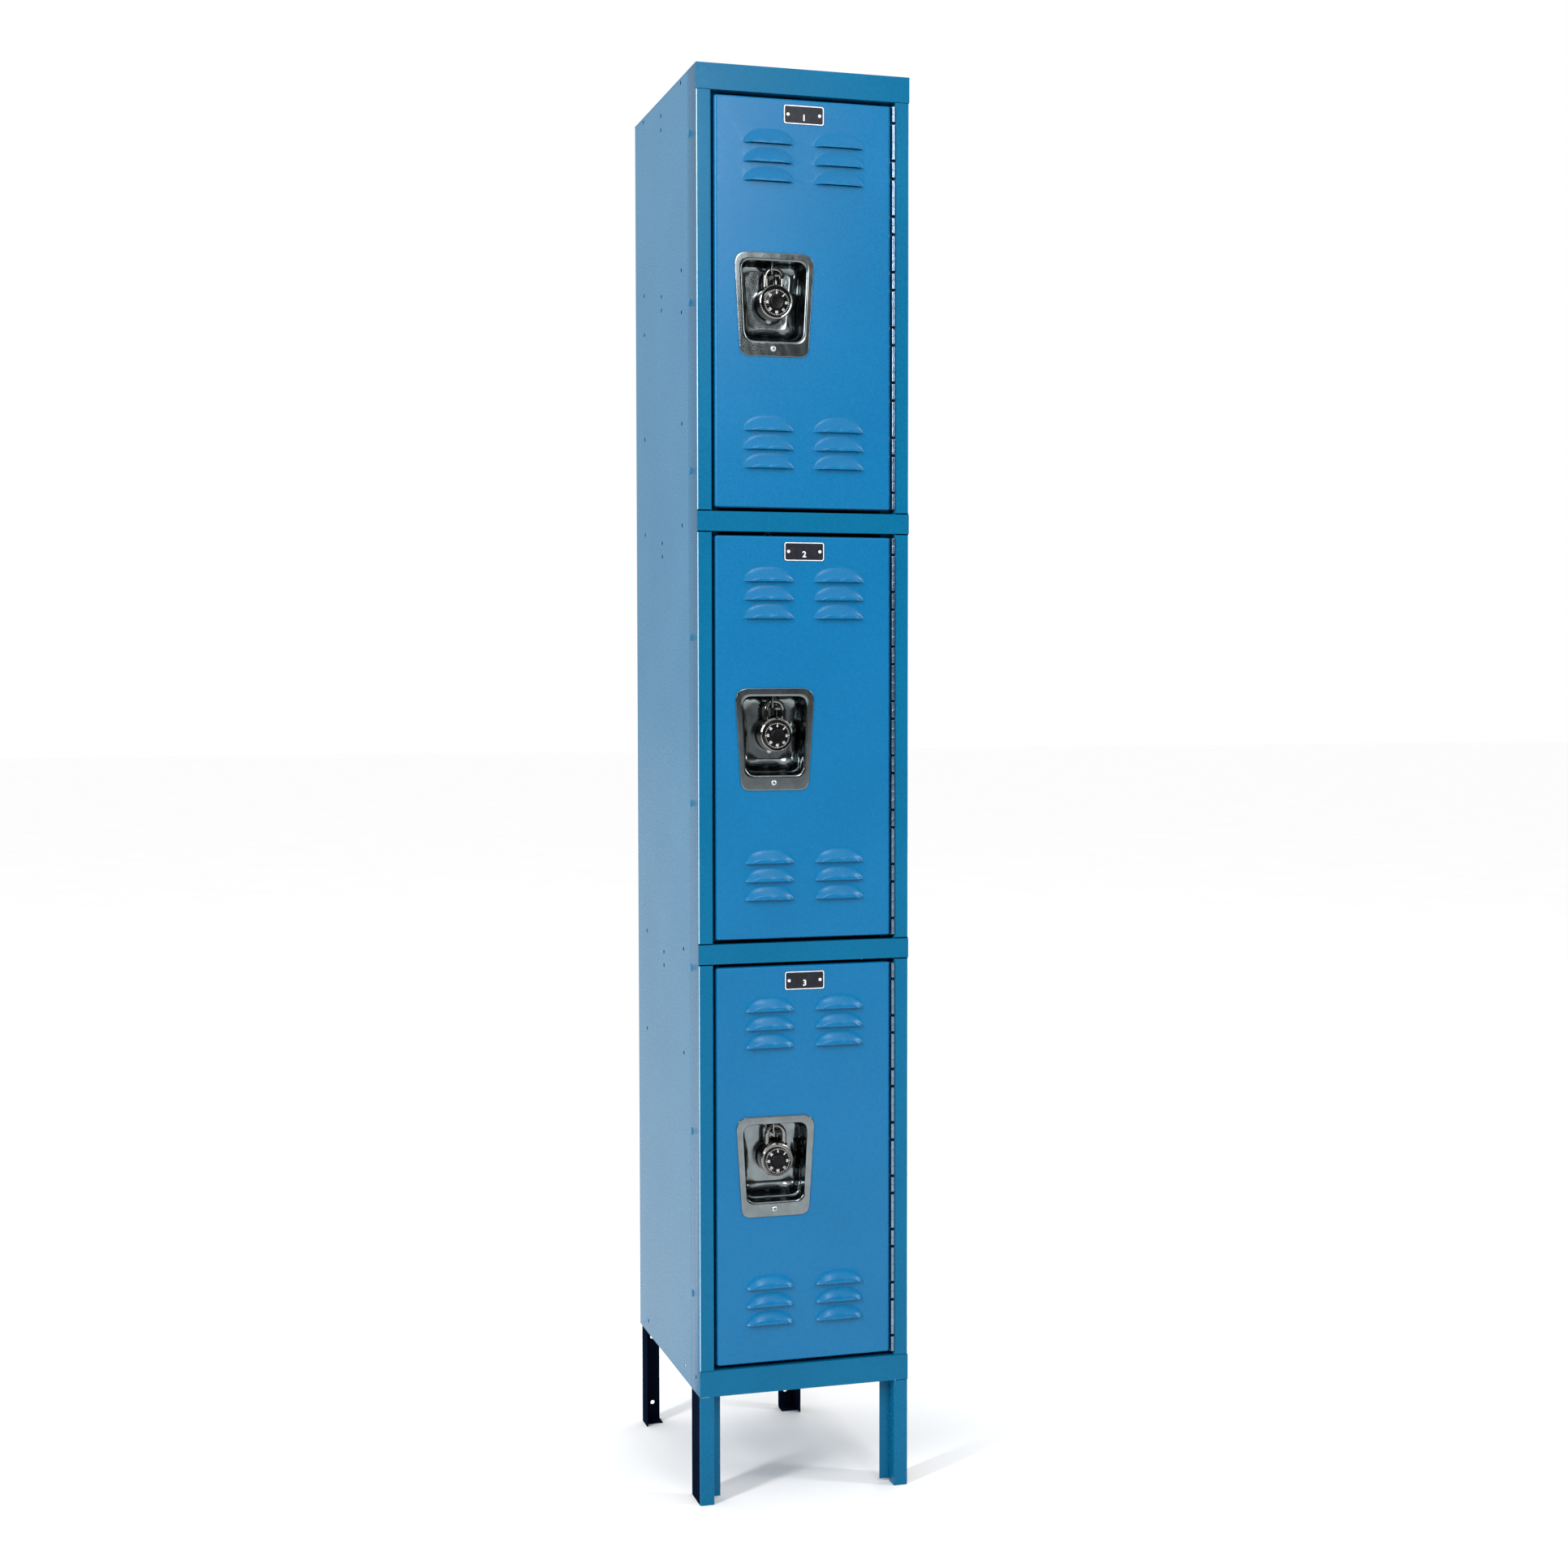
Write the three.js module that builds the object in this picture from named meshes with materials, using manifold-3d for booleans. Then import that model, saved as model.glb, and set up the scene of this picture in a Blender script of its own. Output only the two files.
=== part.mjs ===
// A triple-tier steel locker, one opening wide, on 6 inch legs. Each tier has a louvered door on
// a piano hinge, a recessed handle with a gravity latch, and a combination padlock.
// Millimetres. +X is right, +Y is back, +Z is up. The origin is under the middle of the locker.

import * as THREE from 'three';
import { mergeVertices } from 'three/addons/utils/BufferGeometryUtils.js';
import Module from 'manifold-3d';

const wasm = await Module();
wasm.setup();

// ---------------------------------------------------------------- driving dimensions

const INCH = 25.4;
const WIDTH = 12 * INCH;
const DEPTH = 15 * INCH;
const HEIGHT = 78 * INCH;
const LEG_HEIGHT = 6 * INCH;
const TIERS = 3;

const GAP = 0.3;             // left between two pieces that touch
const CUT = 1;               // how far a cutting tool runs past the face it cuts
const FRAME_GAUGE = 1.5;     // 16 gauge uprights and rails
const DOOR_GAUGE = 1.5;
const BODY_GAUGE = 0.8;      // 22 gauge body sheets
const LEG_GAUGE = 1.9;       // 14 gauge rear legs

const HEADER_HEIGHT = 35;
const MID_RAIL_HEIGHT = 27;
const BOTTOM_RAIL_HEIGHT = 36;
const RAIL_HEIGHTS = HEADER_HEIGHT + (TIERS - 1) * MID_RAIL_HEIGHT + BOTTOM_RAIL_HEIGHT;
const OPENING_HEIGHT = (HEIGHT - LEG_HEIGHT - RAIL_HEIGHTS) / TIERS;

const HALF = WIDTH / 2;
const FACE_WIDTH = 20.5;     // the front of an upright
const SIDE_FLANGE = 48;      // the upright's flange along the locker's side
const STOP_DEPTH = 22.5;     // how far behind the front the door stop stands
const STOP_WIDTH = 14;
const OPENING_HALF = HALF - FACE_WIDTH;
const RAIL_FLANGE = 20;
const HEADER_TOP_FLANGE = 40;
const BODY_TOP = HEIGHT - FRAME_GAUGE - GAP;

const BACK_FLANGE = 12.4;    // the side panels' rear fold
const BACK_INNER = DEPTH - BODY_GAUGE - GAP - BODY_GAUGE;
const SHELF_HALF = HALF - FRAME_GAUGE - GAP - BODY_GAUGE - GAP;
const SHELF_FOLD = 15;

const DOOR_SETBACK = 0.5;
const DOOR_DEPTH = 18;
const DOOR_LEFT = -127.3;
const DOOR_RIGHT = 126.3;
const DOOR_CENTRE = (DOOR_LEFT + DOOR_RIGHT) / 2;
const DOOR_HEIGHT = OPENING_HEIGHT - 11;
const DOOR_BACK = DOOR_SETBACK + DOOR_DEPTH;

const HINGE_RADIUS = 2.5;
const HINGE_X = OPENING_HALF - GAP - HINGE_RADIUS;
const HINGE_LEAF = 1.1;
const HINGE_BORE = 1.65;
const HINGE_PIN = 1.3;
const FRAME_KNUCKLE = 23;
const DOOR_KNUCKLE = 50;
const KNUCKLE_GAP = 1.6;
const DOOR_KNUCKLES = 7;

const LOUVER = { half: 36.5, height: 19.5, proud: 5.5, wall: 1.3, pitch: INCH, column: 50.5 };
const LOUVER_TOP_SET = 216;      // lower edge of the highest louver, above the door's centre
const LOUVER_BOTTOM_SET = -173;  // the same for the lower set
const LOUVER_ROWS = 3;
const FRONT_PROUD = LOUVER.proud - DOOR_SETBACK;

const CUP_X = -43;
const CUP = { rimFront: -1, rimBack: 0.2, floor: 36, wall: 1 };
const CUP_RIM = { topHalf: 57.2, bottomHalf: 48.3, top: 68.7, bottom: -72.1, topCut: 19, bottomCut: 13 };
const CUP_MOUTH = { topHalf: 46.9, bottomHalf: 41.3, top: 57.7, bottom: -51.3, topCut: 15, bottomCut: 15 };
const CUP_FLOOR = { topHalf: 42, bottomHalf: 35, top: 57.7, bottom: -38, topCut: 12, bottomCut: 12 };
const CUP_SCREW = { x: -44.9, z: -61.5, shank: 1.9, head: 4 };

const LOCK_X = -37;
const LOCK_Y = 22;
const SHACKLE = { rod: 3.5, bend: 12.5, top: 50.75 };
const CASE = { radius: 23.8, front: 11, back: 33, z: 4.65, bore: 3.9 };
const DIAL = { radius: 18.6, front: 5, z: 3.4, spindle: 2.4 };
const STAPLE = { x0: LOCK_X - 6, x1: LOCK_X - 4, front: 13, hole: 6.4 };

const LATCH_TRAVEL = 9;
const HOOK = { x0: -117, x1: -115, front: 9.5, nose: 2.4, top: 5.5, shoulder: -3, bottom: -10 };
const BAR = { x0: -120.5, x1: -108.5, y0: 12.4, y1: 14.4, z0: -60, z1: 60 };

// ---------------------------------------------------------------- materials

const finish = (color, roughness, metalness) =>
  new THREE.MeshStandardMaterial({ color, roughness, metalness });
const paint = (color, roughness = 0.45) => finish(color, roughness, 0.1);
const MATERIALS = {
  door: paint(0x1f7ab8),
  frame: paint(0x1f719f),
  body: paint(0x2f7fb5),
  hinge: paint(0x5f9cc4, 0.35),
  stainless: finish(0x8c9396, 0.3, 0.9),
  chrome: finish(0xc8ccce, 0.12, 1),
  zinc: finish(0xa5aaad, 0.4, 0.8),
  plate: finish(0x101216, 0.4, 0.3),
  dial: finish(0x0c0c0e, 0.3, 0),
  rubber: finish(0x1c1c1c, 0.8, 0),
};

// ---------------------------------------------------------------- solids

// A three.js geometry as a solid, with its shared corners merged and its flat slivers dropped.
function solid(geometry) {
  const bare = geometry.index ? geometry.toNonIndexed() : geometry.clone();
  bare.deleteAttribute('normal');
  bare.deleteAttribute('uv');
  const merged = mergeVertices(bare, 1e-4);
  const kept = [];
  for (let i = 0; i < merged.index.count; i += 3) {
    const [a, b, c] = [0, 1, 2].map((corner) => merged.index.getX(i + corner));
    if (a !== b && b !== c && c !== a) kept.push(a, b, c);
  }
  const vertProperties = new Float32Array(merged.attributes.position.array);
  return new wasm.Manifold(new wasm.Mesh({ numProp: 3, vertProperties, triVerts: new Uint32Array(kept) }));
}

function mesh(name, shape, material, z = 0) {
  const { vertProperties, triVerts } = shape.getMesh();
  const geometry = new THREE.BufferGeometry();
  geometry.setAttribute('position', new THREE.BufferAttribute(vertProperties, 3));
  geometry.setIndex(new THREE.BufferAttribute(triVerts, 1));
  geometry.computeVertexNormals();
  const piece = new THREE.Mesh(geometry, material);
  piece.name = name;
  piece.position.z = z;
  return piece;
}

const join = (...pieces) => pieces.reduce((whole, piece) => whole.add(piece));
const cut = (whole, ...tools) => tools.reduce((left, tool) => left.subtract(tool), whole);

function box([x0, x1], [y0, y1], [z0, z1]) {
  const geometry = new THREE.BoxGeometry(x1 - x0, y1 - y0, z1 - z0);
  return solid(geometry.translate((x0 + x1) / 2, (y0 + y1) / 2, (z0 + z1) / 2));
}

function shapeOf(points) {
  return new THREE.Shape(points.map(([x, y]) => new THREE.Vector2(x, y)));
}

const extrusion = (shape, depth) =>
  new THREE.ExtrudeGeometry(shape, { depth, bevelEnabled: false, curveSegments: 5 });

// A plan outline (x, y) drawn upwards.
const upright = (shape, [z0, z1]) => solid(extrusion(shape, z1 - z0).translate(0, 0, z0));

// A side outline (y, z) drawn along X.
function sideways(shape, [x0, x1]) {
  const swap = new THREE.Matrix4().set(0, 0, 1, x0, 1, 0, 0, 0, 0, 1, 0, 0, 0, 0, 0, 1);
  return solid(extrusion(shape, x1 - x0).applyMatrix4(swap));
}

// A front outline (x, z) drawn backwards along Y.
const backwards = (shape, [y0, y1]) =>
  solid(extrusion(shape, y1 - y0).rotateX(Math.PI / 2).translate(0, y1, 0));

// A turned piece on an axis along Y, from its profile of [radius, y] points, back to front.
function turned(profile, x, z, segments = 24) {
  const points = profile.map(([radius, y]) => new THREE.Vector2(radius, -y));
  return solid(new THREE.LatheGeometry(points, segments).rotateX(Math.PI).translate(x, 0, z));
}

const rodAlongY = (radius, x, z, [y0, y1], segments = 12) =>
  turned([[0, y1], [radius, y1], [radius, y0], [0, y0]], x, z, segments);

const rodAlongZ = (radius, x, y, [z0, z1], segments = 12) => {
  const rod = new THREE.CylinderGeometry(radius, radius, z1 - z0, segments).rotateX(Math.PI / 2);
  return solid(rod.translate(x, y, (z0 + z1) / 2));
};

const rodAlongX = (radius, y, z, [x0, x1], segments = 12) => {
  const rod = new THREE.CylinderGeometry(radius, radius, x1 - x0, segments).rotateZ(Math.PI / 2);
  return solid(rod.translate((x0 + x1) / 2, y, z));
};

// The closed section of a folded sheet: its outer line, and that line moved to its left by the gauge.
function folded(line, gauge) {
  const unit = (a, b) => new THREE.Vector2(b[0] - a[0], b[1] - a[1]).normalize();
  const moved = line.map((point, i) => {
    const into = unit(line[Math.max(i - 1, 0)], line[Math.max(i, 1)]);
    const out = unit(line[Math.min(i, line.length - 2)], line[Math.min(i + 1, line.length - 1)]);
    const normal = new THREE.Vector2(-into.y - out.y, into.x + out.x).normalize();
    const reach = gauge / (-normal.x * into.y + normal.y * into.x);
    return [point[0] + normal.x * reach, point[1] + normal.y * reach];
  });
  return shapeOf([...line, ...moved.reverse()]);
}

// The same line on the locker's other side, which keeps its thickness inside.
const mirrored = (line) => line.map(([x, y]) => [-x, y]).reverse();
const onSide = (line, side) => (side < 0 ? line : mirrored(line));

const spread = (a, b) => [Math.min(a, b), Math.max(a, b)];

// ---------------------------------------------------------------- places

const openingBottom = (tier) =>
  HEIGHT - HEADER_HEIGHT - tier * OPENING_HEIGHT - (tier - 1) * MID_RAIL_HEIGHT;
const doorCentre = (tier) => openingBottom(tier) + OPENING_HEIGHT / 2;
const tiers = Array.from({ length: TIERS }, (_, i) => i + 1);
const RAIL_TOP = LEG_HEIGHT + BOTTOM_RAIL_HEIGHT;

// ---------------------------------------------------------------- frame

// An upright is one folded channel from the floor to the header. Its front is notched for the rails.
function makeUpright(side) {
  const line = [
    [-HALF, SIDE_FLANGE], [-HALF, 0], [-OPENING_HALF, 0],
    [-OPENING_HALF, STOP_DEPTH], [-OPENING_HALF + STOP_WIDTH, STOP_DEPTH],
  ];
  const MID_SEAM = 1.8;
  const END_SEAM = 0.8;
  const across = spread(side * (HALF + CUT), side * (OPENING_HALF - CUT));
  const notch = (z0, z1) => box(across, [-CUT, FRAME_GAUGE + GAP], [z0, z1]);
  const midNotches = tiers.slice(1).map((tier) => {
    const bottom = openingBottom(tier) + OPENING_HEIGHT;
    return notch(bottom - MID_SEAM, bottom + MID_RAIL_HEIGHT + MID_SEAM);
  });
  const STOP_FOOT = 3.5;
  const stopEnd = box(spread(side * OPENING_HALF, side * (OPENING_HALF - STOP_WIDTH - CUT)),
    [STOP_DEPTH - CUT, STOP_DEPTH + FRAME_GAUGE + CUT], [-CUT, STOP_FOOT]);
  return cut(
    upright(folded(onSide(line, side), FRAME_GAUGE), [0, BODY_TOP]),
    notch(HEIGHT - HEADER_HEIGHT - END_SEAM, HEIGHT),
    notch(LEG_HEIGHT - END_SEAM, RAIL_TOP + END_SEAM),
    stopEnd,
    ...midNotches,
  );
}

// A rail's face runs over the uprights, and its flanges lie between them.
function makeRail(bottom, height) {
  const across = OPENING_HALF - GAP;
  const line = [[RAIL_FLANGE, height], [0, height], [0, 0], [RAIL_FLANGE, 0]];
  const lifted = line.map(([y, z]) => [y, z + bottom]);
  return join(
    box([-HALF, HALF], [0, FRAME_GAUGE], [bottom, bottom + height]),
    sideways(folded(lifted, FRAME_GAUGE), [-across, across]),
  );
}

function makeHeader() {
  const top = box([-HALF, HALF], [0, HEADER_TOP_FLANGE], [HEIGHT - FRAME_GAUGE, HEIGHT]);
  return join(makeRail(HEIGHT - HEADER_HEIGHT, HEADER_HEIGHT), top);
}

// ---------------------------------------------------------------- body sheets

// The side panel's front edge steps in behind the upright's flange. Its back edge folds inwards.
function makeSidePanel(side) {
  const STEP = FRAME_GAUGE + GAP;
  const LAP = 14;
  const line = [
    [-HALF + BACK_FLANGE, DEPTH], [-HALF, DEPTH], [-HALF, SIDE_FLANGE + 2],
    [-HALF + STEP, SIDE_FLANGE + 0.4], [-HALF + STEP, SIDE_FLANGE - LAP],
  ];
  return upright(folded(onSide(line, side), BODY_GAUGE), [LEG_HEIGHT, BODY_TOP]);
}

function makeBackPanel() {
  const edge = HALF - BODY_GAUGE - GAP;
  const y = DEPTH - BODY_GAUGE - GAP;
  const line = [[edge, y - BACK_FLANGE], [edge, y], [-edge, y], [-edge, y - BACK_FLANGE]];
  return upright(folded(line, BODY_GAUGE), [LEG_HEIGHT, BODY_TOP]);
}

// A tray: a flat sheet with its four edges folded down.
function makeTray(half, [y0, y1], top, gauge, fold) {
  const outer = box([-half, half], [y0, y1], [top - fold, top]);
  const inside = half - gauge;
  const inner = box([-inside, inside], [y0 + gauge, y1 - gauge], [top - fold - CUT, top - gauge]);
  return cut(outer, inner);
}

const shelfDepth = [STOP_DEPTH + FRAME_GAUGE + GAP, BACK_INNER - GAP];
const makeShelf = (top) => makeTray(SHELF_HALF, shelfDepth, top, BODY_GAUGE, SHELF_FOLD);

function makeTopPanel() {
  const front = HEADER_TOP_FLANGE + GAP;
  const sheet = box([-HALF, HALF], [front, DEPTH], [HEIGHT - FRAME_GAUGE, HEIGHT]);
  const behindFlange = [front + CUT, BACK_INNER - GAP];
  return join(sheet, makeTray(SHELF_HALF, behindFlange, HEIGHT - FRAME_GAUGE / 2, BODY_GAUGE, SHELF_FOLD));
}

function makeBottomPanel() {
  const clearOfLegs = LEG_GAUGE + GAP;
  const [front, back] = shelfDepth;
  return makeTray(SHELF_HALF - clearOfLegs, [front, back - clearOfLegs], RAIL_TOP, BODY_GAUGE, SHELF_FOLD);
}

// ---------------------------------------------------------------- rear legs

const RIGHT_LEG_INSET = 54;  // the rear right leg stands in from the locker's corner

// A leg set in from the corner keeps only its back plate above the bottom panel's fold.
function makeRearLeg(side, inset = 0) {
  const outer = HALF - 2 * (BODY_GAUGE + GAP) - inset;
  const back = BACK_INNER - GAP;
  const ACROSS = 27;
  const ALONG = 33;
  const FOOT = 22;
  const LAP = 46;
  const line = [[-outer + ACROSS, back], [-outer, back], [-outer, back - ALONG]];
  const foot = box(spread(side * outer, side * (outer - ACROSS)), [back - FOOT, back], [0, LEG_GAUGE]);
  const leg = join(upright(folded(onSide(line, side), LEG_GAUGE), [0, LEG_HEIGHT + LAP]), foot);
  if (inset === 0) return leg;
  return cut(leg, box(spread(side * (outer + CUT), side * (outer - ACROSS - CUT)),
    [back - ALONG - CUT, back - LEG_GAUGE + 0.1],
    [RAIL_TOP - SHELF_FOLD - GAP, LEG_HEIGHT + LAP + CUT]));
}

// ---------------------------------------------------------------- coat hook

class HookCurve extends THREE.Curve {
  // Two prongs that leave the middle, drop, and turn up at their tips.
  getPoint(t) {
    const x = 38 * (2 * t - 1);
    const reach = Math.abs(x) / 38;
    return new THREE.Vector3(x, 0, -14 - 30 * Math.sin(Math.PI * reach ** 1.4 * 0.86));
  }
}

function makeCoatHook() {
  const section = new THREE.Shape().absarc(0, 0, 2.6, 0, Math.PI * 2);
  const along = { steps: 12, extrudePath: new HookCurve(), curveSegments: 3 };
  const wire = new THREE.ExtrudeGeometry(section, along);
  return join(
    solid(wire),
    rodAlongZ(3.2, 0, 0, [-15, -1], 10),
    box([-20, 20], [-8, 8], [-2, 0]),
  );
}

// ---------------------------------------------------------------- door

const arc = (x, y, radius, from, to, steps = 4) =>
  Array.from({ length: steps + 1 }, (_, i) => {
    const angle = from + ((to - from) * i) / steps;
    return [x + radius * Math.cos(angle), y + radius * Math.sin(angle)];
  });

function makeDoorPan() {
  const EDGE = 5;
  const LATCH_FOLD = 18;
  const HINGE_FOLD = 14;
  const END_FOLD = 14;
  const middle = DOOR_SETBACK + EDGE;
  const line = [
    [DOOR_LEFT + LATCH_FOLD, DOOR_BACK], [DOOR_LEFT, DOOR_BACK],
    ...arc(DOOR_LEFT + EDGE, middle, EDGE, Math.PI, 1.5 * Math.PI),
    ...arc(DOOR_RIGHT - EDGE, middle, EDGE, 1.5 * Math.PI, 2 * Math.PI),
    [DOOR_RIGHT, DOOR_BACK], [DOOR_RIGHT - HINGE_FOLD, DOOR_BACK],
  ];
  const half = DOOR_HEIGHT / 2;
  const across = [DOOR_LEFT + 2.2, DOOR_RIGHT - 2.2];
  const along = [DOOR_SETBACK + 1, DOOR_SETBACK + END_FOLD];
  return join(
    upright(folded(line, DOOR_GAUGE), [-half, half]),
    box(across, along, [half - DOOR_GAUGE, half]),
    box(across, along, [-half, -half + DOOR_GAUGE]),
  );
}

// A louver is a quarter of a flattened egg, open along its lower edge.
function louverEgg(shrink, [y0, y1]) {
  const egg = new THREE.SphereGeometry(1, 8, 6).rotateZ(Math.PI / 2);
  egg.scale(LOUVER.half - shrink, LOUVER.proud - shrink, LOUVER.height - shrink);
  const upper = box([-LOUVER.half, LOUVER.half], [y0, y1], [0, LOUVER.height]);
  return solid(egg).intersect(upper);
}

const louverPlaces = [LOUVER_TOP_SET, LOUVER_BOTTOM_SET].flatMap((top) =>
  Array.from({ length: LOUVER_ROWS }, (_, row) => top - row * LOUVER.pitch).flatMap((z) =>
    [-1, 1].map((column) => [DOOR_CENTRE + column * LOUVER.column, DOOR_SETBACK, z])));

// A rounded trapezoid (x, z), grown outwards by some millimetres.
function trapezoid({ topHalf, bottomHalf, top, bottom, topCut, bottomCut }, grow = 0) {
  const corners = [
    [-bottomHalf - grow, bottom - grow, bottomCut], [bottomHalf + grow, bottom - grow, bottomCut],
    [topHalf + grow, top + grow, topCut], [-topHalf - grow, top + grow, topCut],
  ].map(([x, z, round]) => ({ at: new THREE.Vector2(CUP_X + x, z), round }));
  const shape = new THREE.Shape();
  corners.forEach(({ at, round }, i) => {
    const before = corners[(i + 3) % 4].at.clone().sub(at).setLength(round).add(at);
    const after = corners[(i + 1) % 4].at.clone().sub(at).setLength(round).add(at);
    if (i === 0) shape.moveTo(before.x, before.y);
    else shape.lineTo(before.x, before.y);
    shape.quadraticCurveTo(at.x, at.y, after.x, after.y);
  });
  shape.closePath();
  return shape;
}

function makeDoor() {
  const front = [-LOUVER.proud, DOOR_GAUGE - 0.2];
  const hood = louverEgg(0, front);
  const hollow = louverEgg(LOUVER.wall, [-LOUVER.proud, DOOR_GAUGE + CUT]);
  const slot = box([HOOK.x0 - 2.5, HOOK.x1 + 2.5], [DOOR_BACK - 2 * DOOR_GAUGE, DOOR_BACK + CUT],
    [HOOK.bottom - 3, HOOK.top + 3]);
  return cut(
    join(makeDoorPan(), ...louverPlaces.map((place) => hood.translate(place))),
    ...louverPlaces.map((place) => hollow.translate(place)),
    backwards(trapezoid(CUP_MOUTH, CUP.wall + 0.7), [-CUT, DOOR_SETBACK + DOOR_GAUGE + CUT]),
    rodAlongY(CUP_SCREW.shank + 0.4, CUP_SCREW.x, CUP_SCREW.z, [-CUT, DOOR_SETBACK + DOOR_GAUGE + CUT]),
    slot,
  );
}

// ---------------------------------------------------------------- handle

// A solid between two outlines with the same number of points, at two depths.
function loft(front, y0, back, y1) {
  const near = front.getPoints(5).slice(0, -1);
  const far = back.getPoints(5).slice(0, -1);
  const count = near.length;
  const points = [...near.map(({ x, y }) => [x, y0, y]), ...far.map(({ x, y }) => [x, y1, y])];
  const cap = THREE.ShapeUtils.triangulateShape(near, []);
  const faces = [...cap, ...cap.map(([a, b, c]) => [c + count, b + count, a + count])];
  near.forEach((_, i) => {
    const next = (i + 1) % count;
    faces.push([i, count + i, count + next], [i, count + next, next]);
  });
  const geometry = new THREE.BufferGeometry();
  geometry.setAttribute('position', new THREE.Float32BufferAttribute(points.flat(), 3));
  geometry.setIndex(faces.flat());
  return solid(geometry);
}

// The handle cup: a rim on the door's face, a drawn basin, and the staple that carries the padlock.
function makeCup() {
  const rim = backwards(trapezoid(CUP_RIM), [CUP.rimFront, CUP.rimBack]);
  const back = CUP.floor + CUP.wall;
  const basin = loft(trapezoid(CUP_MOUTH, CUP.wall), 0, trapezoid(CUP_FLOOR, CUP.wall), back);
  const hollow = loft(trapezoid(CUP_MOUTH), CUP.rimFront - CUT / 10, trapezoid(CUP_FLOOR), CUP.floor);
  const liftSlot = box([LIFT.x0 - 0.8, LIFT.x1 + 0.8], [CUP.floor - CUT, CUP.floor + CUP.wall + CUT],
    [LIFT.bottom - LATCH_TRAVEL - 0.8, LIFT.top + 0.8]);
  const screwHole = rodAlongY(CUP_SCREW.shank + 0.4, CUP_SCREW.x, CUP_SCREW.z,
    [CUP.rimFront - CUT, CUP.rimBack + CUT]);
  return join(cut(join(rim, basin), hollow, liftSlot, screwHole), makeStaple());
}

function makeStaple() {
  const plate = box([STAPLE.x0, STAPLE.x1], [STAPLE.front, CUP.floor + CUP.wall / 2],
    [SHACKLE.top - STAPLE.hole - 3.5, CUP_MOUTH.top + CUP.wall / 2]);
  return cut(plate, rodAlongX(STAPLE.hole, LOCK_Y, SHACKLE.top, [STAPLE.x0 - CUT, STAPLE.x1 + CUT]));
}

function makeCupScrew() {
  const { head, shank, x, z } = CUP_SCREW;
  const under = CUP.rimFront - GAP;
  const profile = [[0, 8], [shank, 8], [shank, under], [head, under], [head * 0.9, under - 1.3],
    [head * 0.55, under - 2.1], [0, under - 2.3]];
  return turned(profile, x, z, 10);
}

// ---------------------------------------------------------------- latch

const LIFT = {
  x0: LOCK_X - 1.5, x1: LOCK_X + 5.5, tip: 12, bottom: SHACKLE.top - 11.6, top: SHACKLE.top - 6.2,
  gauge: 2, armX: -98, plateY: 39, plateHeight: 14,
};

// The finger lift reaches through the cup's floor. Its arm runs round the cup to the latch bar.
function makeFingerLift() {
  const { x0, x1, tip, bottom, top, gauge, armX, plateY, plateHeight } = LIFT;
  const thick = 2.6;
  const curl = new THREE.Shape();
  curl.moveTo(plateY + gauge, top);
  curl.lineTo(tip + 7, top);
  curl.quadraticCurveTo(tip + 1, top, tip, bottom);
  curl.lineTo(tip + 2.2, bottom);
  curl.quadraticCurveTo(tip + 3.4, top - thick, tip + 8, top - thick);
  curl.lineTo(plateY + gauge, top - thick);
  curl.closePath();
  const tall = [top - plateHeight, top];
  const tabFront = BAR.y1 + GAP;
  return join(
    sideways(curl, [x0, x1]),
    box([armX, x1], [plateY, plateY + gauge], tall),
    box([armX, armX + gauge], [tabFront, plateY + gauge], tall),
    box([BAR.x1 - 4, armX + gauge], [tabFront, tabFront + gauge], tall),
  );
}

// The bar slides in the door's fold. The top of its window drops behind the frame hook's nose.
function makeLatchBar() {
  const window = box([HOOK.x0 - 2, HOOK.x1 + 2], [BAR.y0 - CUT, BAR.y1 + CUT],
    [HOOK.bottom - 2, HOOK.top + 1]);
  return cut(box([BAR.x0, BAR.x1], [BAR.y0, BAR.y1], [BAR.z0, BAR.z1]), window);
}

function makeFrameHook() {
  const { x0, x1, front, nose, top, shoulder, bottom } = HOOK;
  const back = STOP_DEPTH - GAP;
  const outline = [
    [back, bottom], [front + 3, bottom], [front, shoulder], [front, top - 1], [front + 1, top],
    [front + nose, top], [front + nose, shoulder], [back, shoulder],
  ];
  const FOOT = 1.6;
  const foot = box([x0 - 7, x1], [back - FOOT, back], [bottom, shoulder]);
  return join(sideways(shapeOf(outline), [x0, x1]), foot);
}

const makeBumper = () =>
  turned([[0, STOP_DEPTH - GAP], [4.5, STOP_DEPTH - GAP], [4.2, DOOR_BACK + GAP + 0.4],
    [3.6, DOOR_BACK + GAP], [0, DOOR_BACK + GAP]], -124, 0, 10);

// ---------------------------------------------------------------- hinge

const HINGE_PITCH = DOOR_KNUCKLE + FRAME_KNUCKLE + 2 * KNUCKLE_GAP;
const HINGE_LENGTH = DOOR_KNUCKLES * HINGE_PITCH + FRAME_KNUCKLE;
const frameKnuckles = Array.from({ length: DOOR_KNUCKLES + 1 }, (_, i) => {
  const start = i * HINGE_PITCH - HINGE_LENGTH / 2;
  return [start, start + FRAME_KNUCKLE];
});
const doorKnuckles = frameKnuckles.slice(0, -1).map(([, end]) =>
  [end + KNUCKLE_GAP, end + KNUCKLE_GAP + DOOR_KNUCKLE]);

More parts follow.
